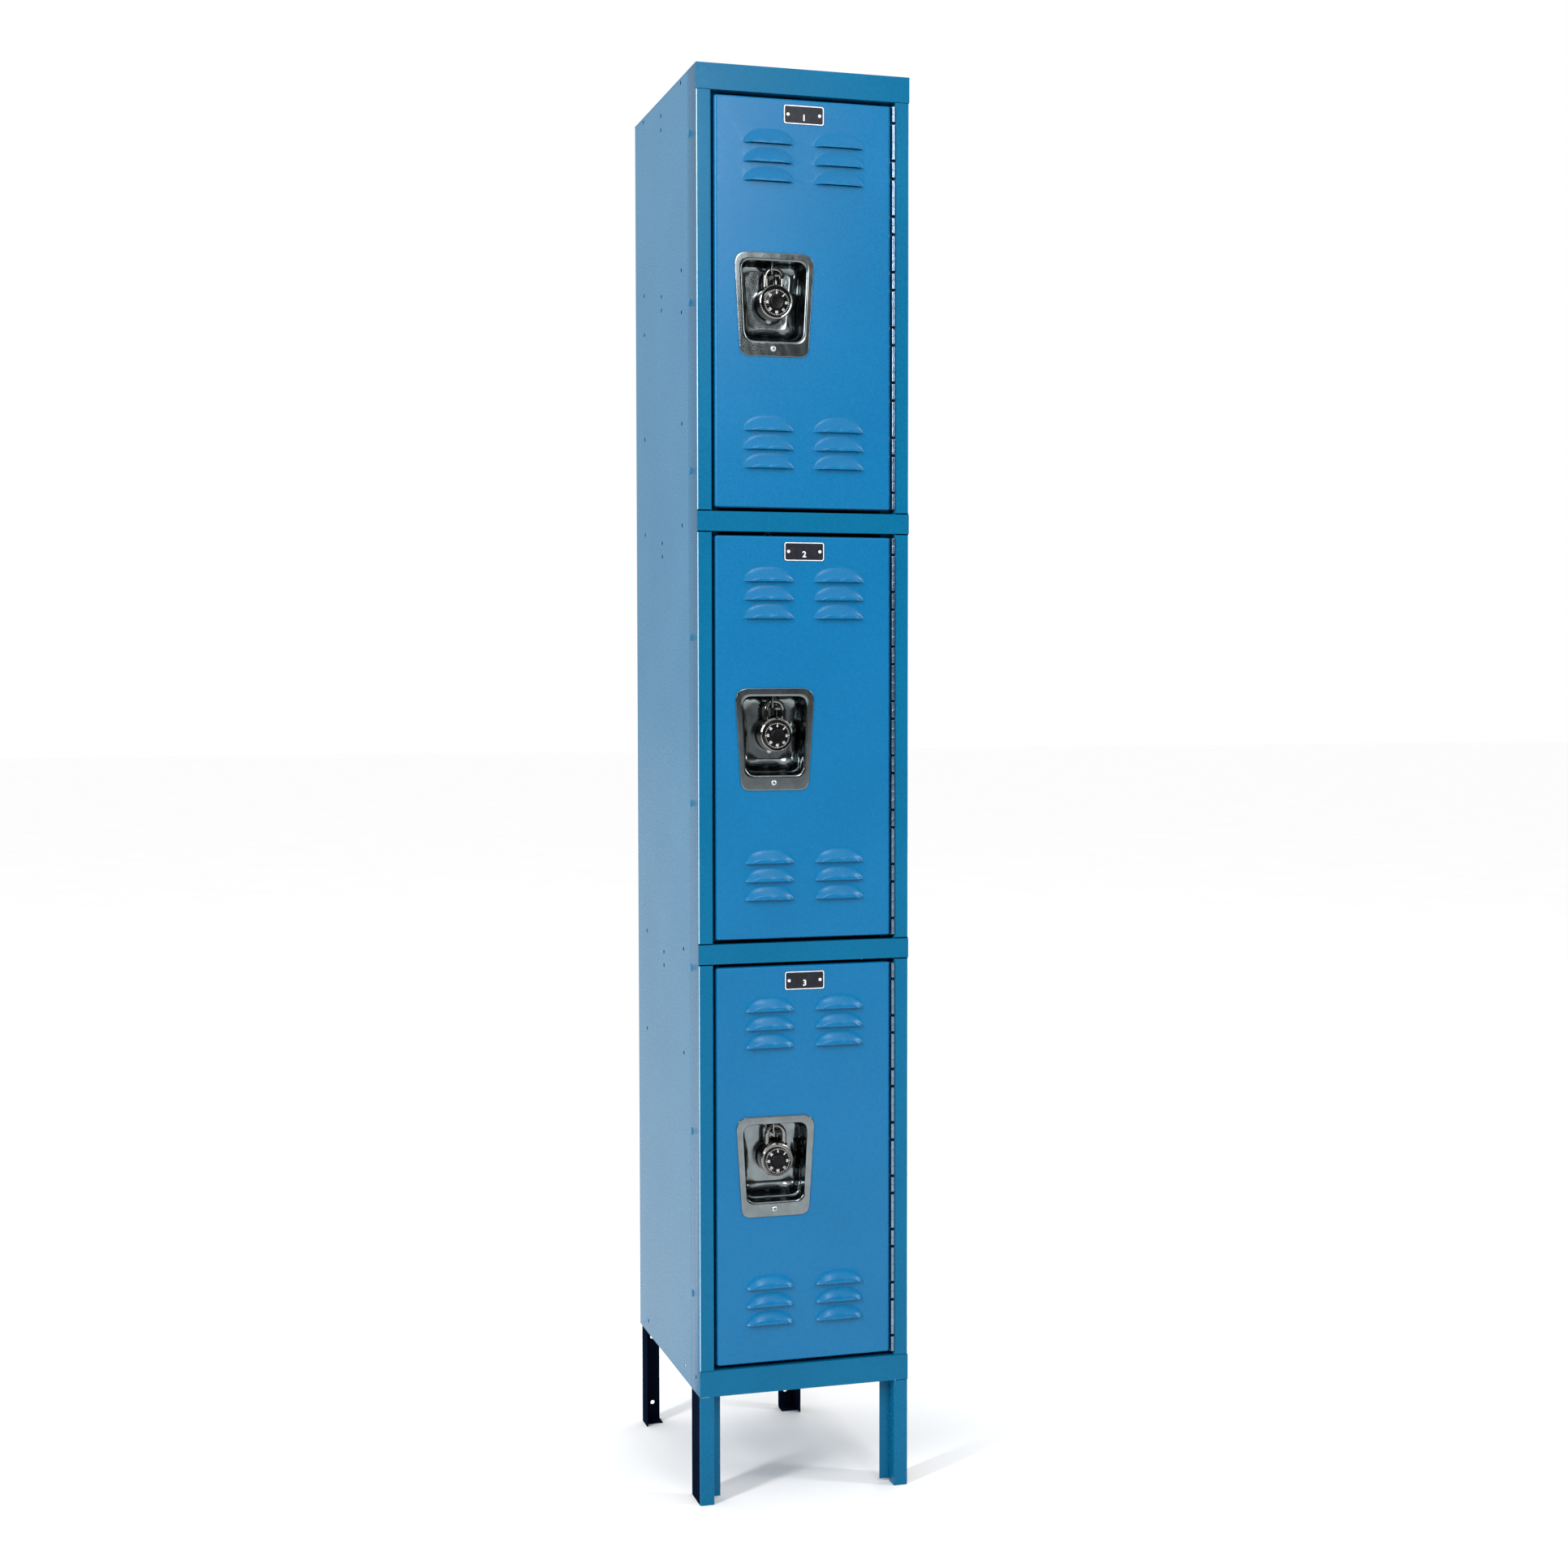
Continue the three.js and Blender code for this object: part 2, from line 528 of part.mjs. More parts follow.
// A leaf is a strip with rolled knuckles, which are tangent to the strip's outer face.
function makeHingeLeaf(side, knuckles) {
  const SIDES = 8;
  const LEAF_BACK = DOOR_BACK - 1;
  const outer = HINGE_X + side * HINGE_RADIUS;
  const across = spread(outer, outer - side * HINGE_LEAF);
  const clear = HINGE_RADIUS + 0.5;
  const strip = box(across, [clear, LEAF_BACK], [-HINGE_LENGTH / 2, HINGE_LENGTH / 2]);
  const rolls = knuckles.map(([z0, z1]) => join(
    rodAlongZ(HINGE_RADIUS, HINGE_X, 0, [z0, z1], SIDES),
    box(across, [0, clear + CUT], [z0, z1]),
  ));
  const bore = rodAlongZ(HINGE_BORE, HINGE_X, 0, [-HINGE_LENGTH / 2 - CUT, HINGE_LENGTH / 2 + CUT], SIDES);
  return cut(join(strip, ...rolls), bore);
}

const makeHingePin = () => rodAlongZ(HINGE_PIN, HINGE_X, 0, [-HINGE_LENGTH / 2, HINGE_LENGTH / 2], 8);

// ---------------------------------------------------------------- number plate

function makeNumberPlate() {
  const width = 2.25 * INCH;
  const height = INCH;
  const z = DOOR_HEIGHT / 2 - 8.5 - height / 2;
  const back = DOOR_SETBACK - GAP;
  const front = back - 0.9;
  const rivets = [-1, 1].map((side) => {
    const x = DOOR_CENTRE + side * 23;
    const profile = [[0, back], [2.2, back], [2.2, front - 0.4], [1.4, front - 1], [0, front - 1.1]];
    return turned(profile, x, z, 8);
  });
  const x = [DOOR_CENTRE - width / 2, DOOR_CENTRE + width / 2];
  return join(box(x, [front, back], [z - height / 2, z + height / 2]), ...rivets);
}

// ---------------------------------------------------------------- padlock

class ShackleCurve extends THREE.Curve {
  // Up the short leg, round the bow, and down the long leg, at an even pace.
  getPoint(t) {
    const { bend, top } = SHACKLE;
    const centre = top - bend;
    const short = centre - (CASE.z + 10);
    const long = centre - (CASE.z + 4);
    const round = Math.PI * bend;
    const along = t * (short + round + long);
    if (along < short) return new THREE.Vector3(LOCK_X - bend, LOCK_Y, centre - short + along);
    const beyond = along - short - round;
    if (beyond > 0) return new THREE.Vector3(LOCK_X + bend, LOCK_Y, centre - beyond);
    const angle = Math.PI - (along - short) / bend;
    return new THREE.Vector3(LOCK_X + bend * Math.cos(angle), LOCK_Y, centre + bend * Math.sin(angle));
  }
}

function makeShackle() {
  const section = new THREE.Shape().absarc(0, 0, SHACKLE.rod, 0, Math.PI * 2);
  return solid(new THREE.ExtrudeGeometry(section,
    { steps: 18, extrudePath: new ShackleCurve(), curveSegments: 4 }));
}

function makeLockCase() {
  const { radius, front, back, z, bore } = CASE;
  const ringInner = DIAL.radius + (z - DIAL.z) + 0.5;
  const face = front + 1.4;
  const profile = [[0, back], [radius - 2.5, back], [radius, back - 2.2], [radius, front + 3],
    [radius - 1.2, front + 0.8], [ringInner + 1.2, front], [ringInner, front], [ringInner, face],
    [0, face]];
  const blind = (side, depth) => rodAlongZ(bore, LOCK_X + side * SHACKLE.bend, LOCK_Y,
    [z + depth - 0.6, z + radius + CUT]);
  const spindleHole = rodAlongY(DIAL.spindle + 0.5, LOCK_X, DIAL.z, [face - CUT, face + 3]);
  return cut(turned(profile, LOCK_X, z), blind(-1, 10), blind(1, 4), spindleHole);
}

function makeDial() {
  const { radius, front, z, spindle } = DIAL;
  const back = CASE.front + 1.4 - GAP;
  const SKIRT = 3.4;
  const KNOB = 9.5;
  const profile = [[0, back + 2.6], [spindle, back + 2.6], [spindle, back], [radius, back],
    [radius, back - 1.2], [KNOB + 2, back - SKIRT], [KNOB, back - SKIRT], [KNOB - 0.7, front + 0.5],
    [KNOB - 1.4, front], [0, front]];
  return turned(profile, LOCK_X, z);
}

// ---------------------------------------------------------------- assembly

const M = MATERIALS;

function carcass() {
  const group = new THREE.Group();
  group.add(
    mesh('left_upright', makeUpright(-1), M.frame),
    mesh('right_upright', makeUpright(1), M.frame),
    mesh('header', makeHeader(), M.frame),
    mesh('bottom_rail', makeRail(LEG_HEIGHT, BOTTOM_RAIL_HEIGHT), M.frame),
    mesh('left_side_panel', makeSidePanel(-1), M.body),
    mesh('right_side_panel', makeSidePanel(1), M.body),
    mesh('back_panel', makeBackPanel(), M.body),
    mesh('top_panel', makeTopPanel(), M.body),
    mesh('bottom_panel', makeBottomPanel(), M.body),
    mesh('rear_left_leg', makeRearLeg(-1), M.frame),
    mesh('rear_right_leg', makeRearLeg(1, RIGHT_LEG_INSET), M.frame),
  );
  const rail = makeRail(0, MID_RAIL_HEIGHT);
  const shelf = makeShelf(MID_RAIL_HEIGHT);
  ['upper', 'lower'].forEach((name, i) => {
    const bottom = openingBottom(i + 1) - MID_RAIL_HEIGHT;
    group.add(mesh(`${name}_mid_rail`, rail, M.frame, bottom));
    group.add(mesh(`${name}_shelf`, shelf, M.body, bottom));
  });
  const hook = makeCoatHook();
  tiers.forEach((tier) => {
    const sheet = tier === 1 ? HEIGHT - FRAME_GAUGE : openingBottom(tier - 1) - BODY_GAUGE;
    const piece = mesh(`coat_hook_${tier}`, hook, M.zinc, sheet - GAP);
    piece.position.y = DEPTH / 2;
    group.add(piece);
  });
  return group;
}

// The pieces of one tier, in heights from its door's centre. One set of solids serves all tiers.
const doorPieces = {
  panel: [makeDoor(), M.door],
  number_plate: [makeNumberPlate(), M.plate],
  handle_cup: [makeCup(), M.stainless],
  cup_screw: [makeCupScrew(), M.zinc],
  finger_lift: [makeFingerLift(), M.chrome],
  latch_bar: [makeLatchBar(), M.zinc],
  frame_hook: [makeFrameHook(), M.zinc],
  hinge_door_leaf: [makeHingeLeaf(-1, doorKnuckles), M.hinge],
  hinge_frame_leaf: [makeHingeLeaf(1, frameKnuckles), M.hinge],
  hinge_pin: [makeHingePin(), M.zinc],
  padlock_shackle: [makeShackle(), M.chrome],
  padlock_case: [makeLockCase(), M.chrome],
  padlock_dial: [makeDial(), M.dial],
};
const BUMPER_HEIGHT = 225;

function tierPieces(tier) {
  const group = new THREE.Group();
  group.position.z = doorCentre(tier);
  for (const [name, [shape, material]] of Object.entries(doorPieces)) {
    group.add(mesh(`door_${tier}_${name}`, shape, material));
  }
  group.add(mesh(`door_${tier}_bumper`, makeBumper(), M.rubber, BUMPER_HEIGHT));
  return group;
}

const locker = new THREE.Group();
const cabinet = new THREE.Group();
cabinet.position.y = -(DEPTH - FRONT_PROUD) / 2;
cabinet.add(carcass(), ...tiers.map(tierPieces));
locker.add(cabinet);

export default locker;
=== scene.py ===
"""Looks for a three-tier steel locker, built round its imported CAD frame.

Sizes in this file are millimetres, in the cabinet's own frame: x is across from the middle, y runs
back from the front plane, and z is up, either from the floor or from the middle of a door.
"""
import math

import bmesh
import bpy
from mathutils import Matrix, Vector
from mathutils.geometry import delaunay_2d_cdt


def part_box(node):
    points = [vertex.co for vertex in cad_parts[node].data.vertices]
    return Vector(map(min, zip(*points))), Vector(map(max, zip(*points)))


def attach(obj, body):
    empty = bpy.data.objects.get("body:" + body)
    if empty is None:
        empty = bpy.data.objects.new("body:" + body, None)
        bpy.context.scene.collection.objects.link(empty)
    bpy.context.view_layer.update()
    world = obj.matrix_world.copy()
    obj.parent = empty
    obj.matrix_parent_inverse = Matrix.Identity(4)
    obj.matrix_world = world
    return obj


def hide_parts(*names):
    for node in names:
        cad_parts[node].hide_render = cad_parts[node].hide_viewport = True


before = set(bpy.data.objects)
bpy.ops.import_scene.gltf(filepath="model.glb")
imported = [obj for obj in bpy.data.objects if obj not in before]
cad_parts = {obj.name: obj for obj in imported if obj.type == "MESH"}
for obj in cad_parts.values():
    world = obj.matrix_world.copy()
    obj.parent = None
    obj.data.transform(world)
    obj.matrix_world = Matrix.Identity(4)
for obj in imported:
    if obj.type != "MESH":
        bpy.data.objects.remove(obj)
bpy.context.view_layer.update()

MM = 0.001
TIERS = (1, 2, 3)


def span(node):
    """Lowest and highest corner of a CAD node in the cabinet's millimetres."""
    return [(corner - Vector((0, FRONT, 0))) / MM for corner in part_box(node)]


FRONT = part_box("left_upright")[0].y
DOOR_MIDDLE = {tier: sum(corner.z for corner in span(f"door_{tier}_panel")) / 2 for tier in TIERS}
CABINET_LOW, CABINET_HIGH = span("left_side_panel")
HALF_WIDTH = span("right_upright")[1].x

# ------------------------------------------------------------------------------------- materials

WHITE = (1.0, 1.0, 1.0)


class Look:
    """A material made of nodes. Values set here are even over the surface."""

    def __init__(self, name, **values):
        self.material = bpy.data.materials.new(name)
        self.material.use_nodes = True
        self.tree = self.material.node_tree
        self.shader = self.tree.nodes["Principled BSDF"]
        self.place = self.tree.nodes.new("ShaderNodeTexCoord").outputs["Object"]
        for socket, value in values.items():
            self.shader.inputs[socket.replace("_", " ")].default_value = value

    def node(self, kind, inputs, **settings):
        made = self.tree.nodes.new("ShaderNode" + kind)
        for key, value in settings.items():
            setattr(made, key, value)
        for key, value in inputs.items():
            if isinstance(value, bpy.types.NodeSocket):
                self.tree.links.new(value, made.inputs[key])
            else:
                made.inputs[key].default_value = value
        return made

    def noise(self, size, detail=2.0, stretch=(1, 1, 1), rough=0.5):
        """Noise whose blotches are about so many millimetres across, from 0 to 1."""
        place = self.place
        if stretch != (1, 1, 1):
            place = self.node("Mapping", {"Vector": place, "Scale": stretch}).outputs["Vector"]
        inputs = {"Vector": place, "Scale": 1 / (size * MM), "Detail": detail, "Roughness": rough}
        return self.node("TexNoise", inputs).outputs["Fac"]

    def blend(self, fraction, low, high, limits=(0.35, 0.65)):
        """A colour from low to high, as the fraction goes between the limits."""
        ramp = self.node("ValToRGB", {"Fac": fraction})
        for element, colour, at in zip(ramp.color_ramp.elements, (low, high), limits):
            element.color = (*colour, 1)
            element.position = at
        return ramp.outputs["Color"]

    def scale(self, value, limits):
        """A number between the limits, from the middle of a noise's range."""
        inputs = {"Value": value, "From Min": 0.3, "From Max": 0.7}
        inputs.update({"To Min": limits[0], "To Max": limits[1]})
        return self.node("MapRange", inputs).outputs["Result"]

    def multiply(self, colour, other):
        inputs = {"Fac": 1.0, "Color1": colour, "Color2": other}
        return self.node("MixRGB", inputs, blend_type="MULTIPLY").outputs["Color"]

    def relief(self, layers):
        """Bump from (height socket, depth in millimetres, strength) layers."""
        normal = None
        for height, depth, strength in layers:
            inputs = {"Height": height, "Distance": depth * MM, "Strength": strength}
            if normal is not None:
                inputs["Normal"] = normal
            normal = self.node("Bump", inputs).outputs["Normal"]
        self.tree.links.new(normal, self.shader.inputs["Normal"])

    def drive(self, socket, value):
        self.tree.links.new(value, self.shader.inputs[socket])


def powder_coat(name, main, pale, gloss):
    """Baked enamel: orange peel, fine mottling, and the slight waviness of sheet steel."""
    look = Look(name, Metallic=0.0, IOR=1.5, Specular_IOR_Level=gloss)
    base = look.blend(look.noise(160, 2), main, pale, (0.3, 0.75))
    speckle = look.blend(look.noise(1.5, 3, rough=0.7), (0.86, 0.87, 0.9), WHITE, (0.35, 0.6))
    grains = look.blend(look.noise(4.5, 2), (0.93, 0.95, 0.97), WHITE, (0.4, 0.6))
    look.drive("Base Color", look.multiply(look.multiply(base, speckle), grains))
    look.drive("Roughness", look.scale(look.noise(3, 3), (0.24, 0.32)))
    waves = (look.noise(260, 1), 0.5, 0.35)
    peel = (look.noise(2.2, 2), 0.02, 0.5)
    tooth = (look.noise(0.7, 1), 0.006, 0.4)
    look.relief([waves, peel, tooth])
    return look.material


def bare_metal(name, colour, roughness, grain=(1, 1, 1), metallic=1.0, stain=0.85,
               scratch=0.01, dents=0.0):
    """Polished or brushed metal with smudges, and a grain that runs along the stretched axis.

    Scratches and dents are depths in millimetres.
    """
    look = Look(name, Metallic=metallic)
    smudge = look.blend(look.noise(14, 3), (stain, stain, stain), WHITE)
    brushed = look.blend(look.noise(0.9, 3, grain, 0.7), (0.9, 0.9, 0.9), WHITE)
    look.drive("Base Color", look.multiply(look.multiply(smudge, brushed), (*colour, 1)))
    look.drive("Roughness", look.scale(look.noise(6, 4, grain), (roughness * 0.85, roughness * 1.2)))
    look.relief([(look.noise(0.8, 2, grain), scratch, 0.5), (look.noise(30, 2), dents, 0.25)])
    return look.material


def galvanized(name):
    """Zinc plate: small crystals that each take the light a little differently."""
    look = Look(name, Metallic=0.9)
    cells = look.node("TexVoronoi", {"Vector": look.place, "Scale": 1 / (2.6 * MM)})
    grey = look.node("RGBToBW", {"Color": cells.outputs["Color"]}).outputs["Val"]
    look.drive("Base Color", look.blend(grey, (0.42, 0.44, 0.46), (0.62, 0.64, 0.66), (0.2, 0.8)))
    look.drive("Roughness", look.scale(grey, (0.28, 0.45)))
    look.relief([(look.noise(0.6, 3), 0.01, 0.5)])
    return look.material


def moulded(name, colour, pale, roughness, grain=0.5, gloss=0.3):
    """Plastic, rubber or enamel with a fine tooth and a few paler scuffs."""
    look = Look(name, Metallic=0.0, IOR=1.48, Specular_IOR_Level=gloss)
    scuffs = look.noise(9, 5, rough=0.7)
    look.drive("Base Color", look.blend(scuffs, colour, pale, (0.45, 0.8)))
    look.drive("Roughness", look.scale(look.noise(2.5, 3), (roughness, roughness + 0.15)))
    look.relief([(look.noise(grain, 2), 0.015, 0.6)])
    return look.material


MATERIALS = {
    "door_paint": powder_coat("door_paint", (0.0, 0.128, 0.295), (0.001, 0.140, 0.32), gloss=0.26),
    "frame_paint": powder_coat("frame_paint", (0.0, 0.110, 0.228), (0.001, 0.125, 0.25), gloss=0.13),
    "body_paint": powder_coat("body_paint", (0.030, 0.160, 0.285), (0.038, 0.175, 0.305), gloss=0.12),
    # Near-black paint: painted shade on the front legs' side flanges and on the rear legs; also the
    # hinge pins' black.
    "leg_shade_and_pin_black": powder_coat("leg_shade_and_pin_black", (0.003, 0.006, 0.016), (0.005, 0.009, 0.022), gloss=0.0),
    # Painted highlight: pale blue-white paint for the strips on the uprights' outer bends, where the
    # light glints.
    "painted_edge_highlight": powder_coat("painted_edge_highlight", (0.34, 0.52, 0.66), (0.55, 0.68, 0.78), gloss=0.5),
    "hinge_paint": bare_metal("hinge_steel", (0.20, 0.29, 0.40), 0.22, (1, 1, 0.1), stain=0.8),
    "stainless": bare_metal("cup_steel", (0.21, 0.24, 0.25), 0.15, (1, 1, 0.4), stain=0.8,
                            scratch=0.003, dents=0.03),
    "chrome": bare_metal("lock_chrome", (0.24, 0.24, 0.225), 0.05, stain=0.85, scratch=0.001),
    "zinc": galvanized("zinc_plate"),
    "plate": moulded("plate_black", (0.006, 0.007, 0.012), (0.016, 0.018, 0.026), 0.3),
    "plate_silver": bare_metal("plate_silver", (0.88, 0.89, 0.92), 0.35, metallic=0.25, stain=0.9),
    # The dial's black plastic; the same black is painted shade in the screw recess, the bore mouths and
    # the index notch.
    "dial_black": moulded("dial_black", (0.003, 0.003, 0.004), (0.008, 0.008, 0.009), 0.14, 0.4, 0.14),
    "dial_white": moulded("dial_white", (0.80, 0.80, 0.78), (0.62, 0.62, 0.60), 0.4, 0.3),
    "rubber": moulded("rubber", (0.012, 0.012, 0.012), (0.04, 0.04, 0.04), 0.6, 0.8),
}

# ------------------------------------------------------------------------------------ mesh tools

MERGE_REACH = 0.004
SLIVER = 0.002
# How a rod's end closes: fractions of its radius, and how far past the end, in radii.
END_ROUNDING = ((1, 0), (0.92, 0.35), (0.6, 0.65), (0, 0.7))


def full_turn(count):
    """Angles of so many even steps round a circle."""
    return [2 * math.pi * i / count for i in range(count)]


def quarter(steps):
    """Angles from 0 to a right angle."""
    return [math.radians(90 * i / steps) for i in range(steps + 1)]


def half_turn(steps):
    """Angles from 0 to a straight angle."""
    return [math.pi * i / steps for i in range(steps + 1)]


class Shape:
    """Points and faces in millimetres, gathered from sheets, rings and turned solids."""

    def __init__(self):
        self.points = []
        self.faces = []

    def add(self, points, faces, facing=None):
        """Adds faces, turned over if they look away from facing on the whole."""
        points = [Vector(point) for point in points]
        if facing is not None:
            look = Vector()
            for face in faces:
                for a, b in zip(face[1:], face[2:]):
                    look += (points[a] - points[face[0]]).cross(points[b] - points[face[0]])
            if look.dot(Vector(facing)) < 0:
                faces = [face[::-1] for face in faces]
        first = len(self.points)
        self.points += points
        self.faces += [tuple(first + i for i in face) for face in faces]

    def rings(self, rings, closed=True, facing=None):
        """A skin over rings that all have the same number of points."""
        count = len(rings[0])
        faces = []
        for row in range(0, count * (len(rings) - 1), count):
            for i in range(count if closed else count - 1):
                ahead = (i + 1) % count
                faces.append((row + i, row + ahead, row + count + ahead, row + count + i))
        self.add([point for ring in rings for point in ring], faces, facing)

    def flat(self, outline, holes, to_space, facing):
        """A flat sheet with holes. Its flat points (u, v) go to space by to_space."""
        loops = [outline, *holes]
        points = [Vector(point) for loop in loops for point in loop]
        edges = []
        for loop in loops:
            first = len(edges)
            edges += [(first + i, first + (i + 1) % len(loop)) for i in range(len(loop))]
        found, _, triangles, *_ = delaunay_2d_cdt(points, edges, [], 0, 1e-5)
        kept = []
        for triangle in triangles:
            middle = sum((found[i] for i in triangle), Vector((0, 0))) / 3
            if inside(middle, outline) and not any(inside(middle, hole) for hole in holes):
                kept.append(tuple(triangle))
        self.add([to_space(u, v) for u, v in found], kept, facing)

    def wall(self, line, low, high, facing):
        """A sheet that stands on a line of points (x, y), between two heights."""
        self.rings([[(x, y, z) for x, y in line] for z in (low, high)], False, facing)

    def slab(self, outline, front, back):
        """A closed slab of an even outline (x, z) between two depths."""
        for y, facing in ((front, -1), (back, 1)):
            self.flat(outline, [], at_depth(y), (0, facing, 0))
        self.rings([[(x, y, z) for x, z in outline] for y in (front, back)])

    def turned(self, profile, x, z, segments):
        """A solid of revolution about the line along y through x, z. The profile is (radius, y)."""
        turns = full_turn(segments)
        self.rings([
            [(x + radius * math.cos(a), y, z + radius * math.sin(a)) for a in turns]
            for radius, y in profile
        ])

    def tube(self, path, radius, sides):
        """A rod along a path that lies in a plane of constant y, closed at both ends."""
        path = [Vector(point) for point in path]
        back = Vector((0, 1, 0))
        turns = full_turn(sides)
        rings = []
        for i, point in enumerate(path):
            along = (path[min(i + 1, len(path) - 1)] - path[max(i - 1, 0)]).normalized()
            side = along.cross(back)
            outwards = -1 if i == 0 else 1
            for shrink, shift in END_ROUNDING if i in (0, len(path) - 1) else ((1, 0),):
                centre = point + along * (outwards * shift * radius)
                rings.append([
                    centre + (side * math.cos(a) + back * math.sin(a)) * (radius * shrink)
                    for a in turns
                ])
            if i == 0:
                rings.reverse()
        self.rings(rings)

    def build(self, name, body, slot, middle=0.0, material=None, replaces=(),
              thickness=0.0, bevel=0.0, sharp=35):
        """The finished piece, which rides on a body. Open sheets get a thickness, behind their face."""
        mesh = bpy.data.meshes.new(name)
        to_row = Matrix.Translation((0, FRONT, middle * MM)) @ Matrix.Scale(MM, 4)
        mesh.from_pydata([to_row @ point for point in self.points], [], self.faces)
        work = bmesh.new()
        work.from_mesh(mesh)
        bmesh.ops.remove_doubles(work, verts=work.verts, dist=MERGE_REACH * MM)
        bmesh.ops.dissolve_degenerate(work, edges=work.edges, dist=SLIVER * MM)
        if not thickness:
            bmesh.ops.recalc_face_normals(work, faces=work.faces)
        work.to_mesh(mesh)
        work.free()
        mesh.shade_smooth()
        mesh.set_sharp_from_angle(angle=math.radians(sharp))
        mesh.materials.append(MATERIALS[material or slot])
        piece = bpy.data.objects.new(name, mesh)
        bpy.context.scene.collection.objects.link(piece)
        if thickness:
            wall = piece.modifiers.new("wall", "SOLIDIFY")
            wall.thickness = thickness * MM
            wall.offset = -1
        if bevel:
            round_edges(piece, bevel)
        piece.modifiers.new("normals", "WEIGHTED_NORMAL").keep_sharp = True
        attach(piece, body)
        if replaces:
            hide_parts(*replaces)
        return piece


def round_edges(piece, width):
    edge = piece.modifiers.new("edge", "BEVEL")
    edge.width = width * MM
    edge.segments = 2
    edge.limit_method = "ANGLE"
    edge.angle_limit = math.radians(40)
    edge.harden_normals = True


def inside(point, outline):
    """True if a flat point lies inside a closed outline."""
    crossings = False
    for (ax, ay), (bx, by) in zip(outline, outline[1:] + outline[:1]):
        if (ay > point[1]) != (by > point[1]):
            crossings ^= point[0] < ax + (point[1] - ay) / (by - ay) * (bx - ax)
    return crossings


def circle(x, z, radius, count=14):
    return [(x + radius * math.cos(a), z + radius * math.sin(a)) for a in full_turn(count)]


def rectangle(x0, x1, z0, z1):
    return [(x0, z0), (x1, z0), (x1, z1), (x0, z1)]


def rounded(x0, x1, z0, z1, radius, count=6):
    corners = ((x1, z1, 0), (x0, z1, 90), (x0, z0, 180), (x1, z0, 270))
    points = []
    for x, z, start in corners:
        x -= math.copysign(radius, x - (x0 + x1) / 2)
        z -= math.copysign(radius, z - (z0 + z1) / 2)
        for i in range(count):
            a = math.radians(start + 90 * i / (count - 1))
            points.append((x + radius * math.cos(a), z + radius * math.sin(a)))
    return points


def mixed(a, b, fraction):
    return a + (b - a) * fraction


def at_depth(y):
    """Puts flat points (x, z) at a depth."""
    return lambda x, z: (x, y, z)


def at_side(x):
    """Puts flat points (y, z) on a plane across the cabinet."""
    return lambda y, z: (x, y, z)


# ------------------------------------------------------------------------------------- door pans

PAN_LOW, PAN_HIGH = (corner - Vector((0, 0, DOOR_MIDDLE[1])) for corner in span("door_1_panel"))
PAN_LEFT = PAN_LOW.x
PAN_RIGHT = PAN_HIGH.x
PAN_HALF = PAN_HIGH.z
PAN_FACE = 0.5
PAN_BACK = PAN_HIGH.y
PAN_MIDDLE = (PAN_LEFT + PAN_RIGHT) / 2
BEND_X = 5.0
BEND_Z = 3.0
DOOR_GAUGE = 1.3
LATCH_FOLD = 18
HINGE_FOLD = 14
FOLD_CUT = 2.5
FOLD_BEND = 4.5
FOLD_GAP = 0.2
CUP_HOLE_GROWTH = 2.4
HOOK_X = span("door_1_frame_hook")[1].x - 1
HOOK_SLOT_HALF = 3.5
HOOK_SLOT_LOW, HOOK_SLOT_HIGH = -13, 8.5

LOUVER_HALF = 36.5
LOUVER_HEIGHT = 21
LOUVER_PROUD = PAN_FACE - PAN_LOW.y
LOUVER_COLUMN = 50.5
LOUVER_PITCH = 25.4
LOUVER_SETS = (216, -173)
LOUVER_PLACES = [
    (PAN_MIDDLE + side * LOUVER_COLUMN, top - row * LOUVER_PITCH)
    for top in LOUVER_SETS
    for row in range(3)
    for side in (-1, 1)
]
LOUVER_STEPS = 30
LOUVER_RINGS = 12


def louver_edge(turn, reach=1.0):
    """A point (u, v) of the louver's outline, by its turn from the right-hand end."""
    u = math.copysign(abs(math.cos(turn)) ** 0.72, math.cos(turn))
    return LOUVER_HALF * u * reach, LOUVER_HEIGHT * math.sin(turn) ** 0.95 * reach


def add_louver(shape, x, z):
    """A pressed hood, steep at its ends, running out gently at the top, and open along the bottom."""
    rings = []
    for step in range(LOUVER_RINGS + 1):
        reach = (step / LOUVER_RINGS) ** 0.8
        ring = []
        for turn in half_turn(LOUVER_STEPS):
            start = mixed(0.80, 0.05, math.sin(turn) ** 0.8)
            slope = min(max((reach - start) / (1 - start), 0), 1)
            proud = LOUVER_PROUD * (1 - slope * slope * (3 - 2 * slope))
            u, v = louver_edge(turn, reach)
            ring.append((x + u, PAN_FACE - proud, z + v))
        rings.append(ring)
    shape.rings(rings, closed=False, facing=(0, -1, 0))


def pan_ring(turn, depth):
    """The pan's outline where its edge has bent by a turn, at a depth."""
    points = []
    right, left = PAN_RIGHT - BEND_X, PAN_LEFT + BEND_X
    top, bottom = PAN_HALF - BEND_Z, -PAN_HALF + BEND_Z
    for start, x, z in ((0, right, top), (90, left, top), (180, left, bottom), (270, right, bottom)):
        for i in range(7):
            a = math.radians(start + 15 * i)
            across = BEND_X * math.sin(turn) * math.cos(a)
            up = BEND_Z * math.sin(turn) * math.sin(a)
            points.append((x + across, depth, z + up))
    return points


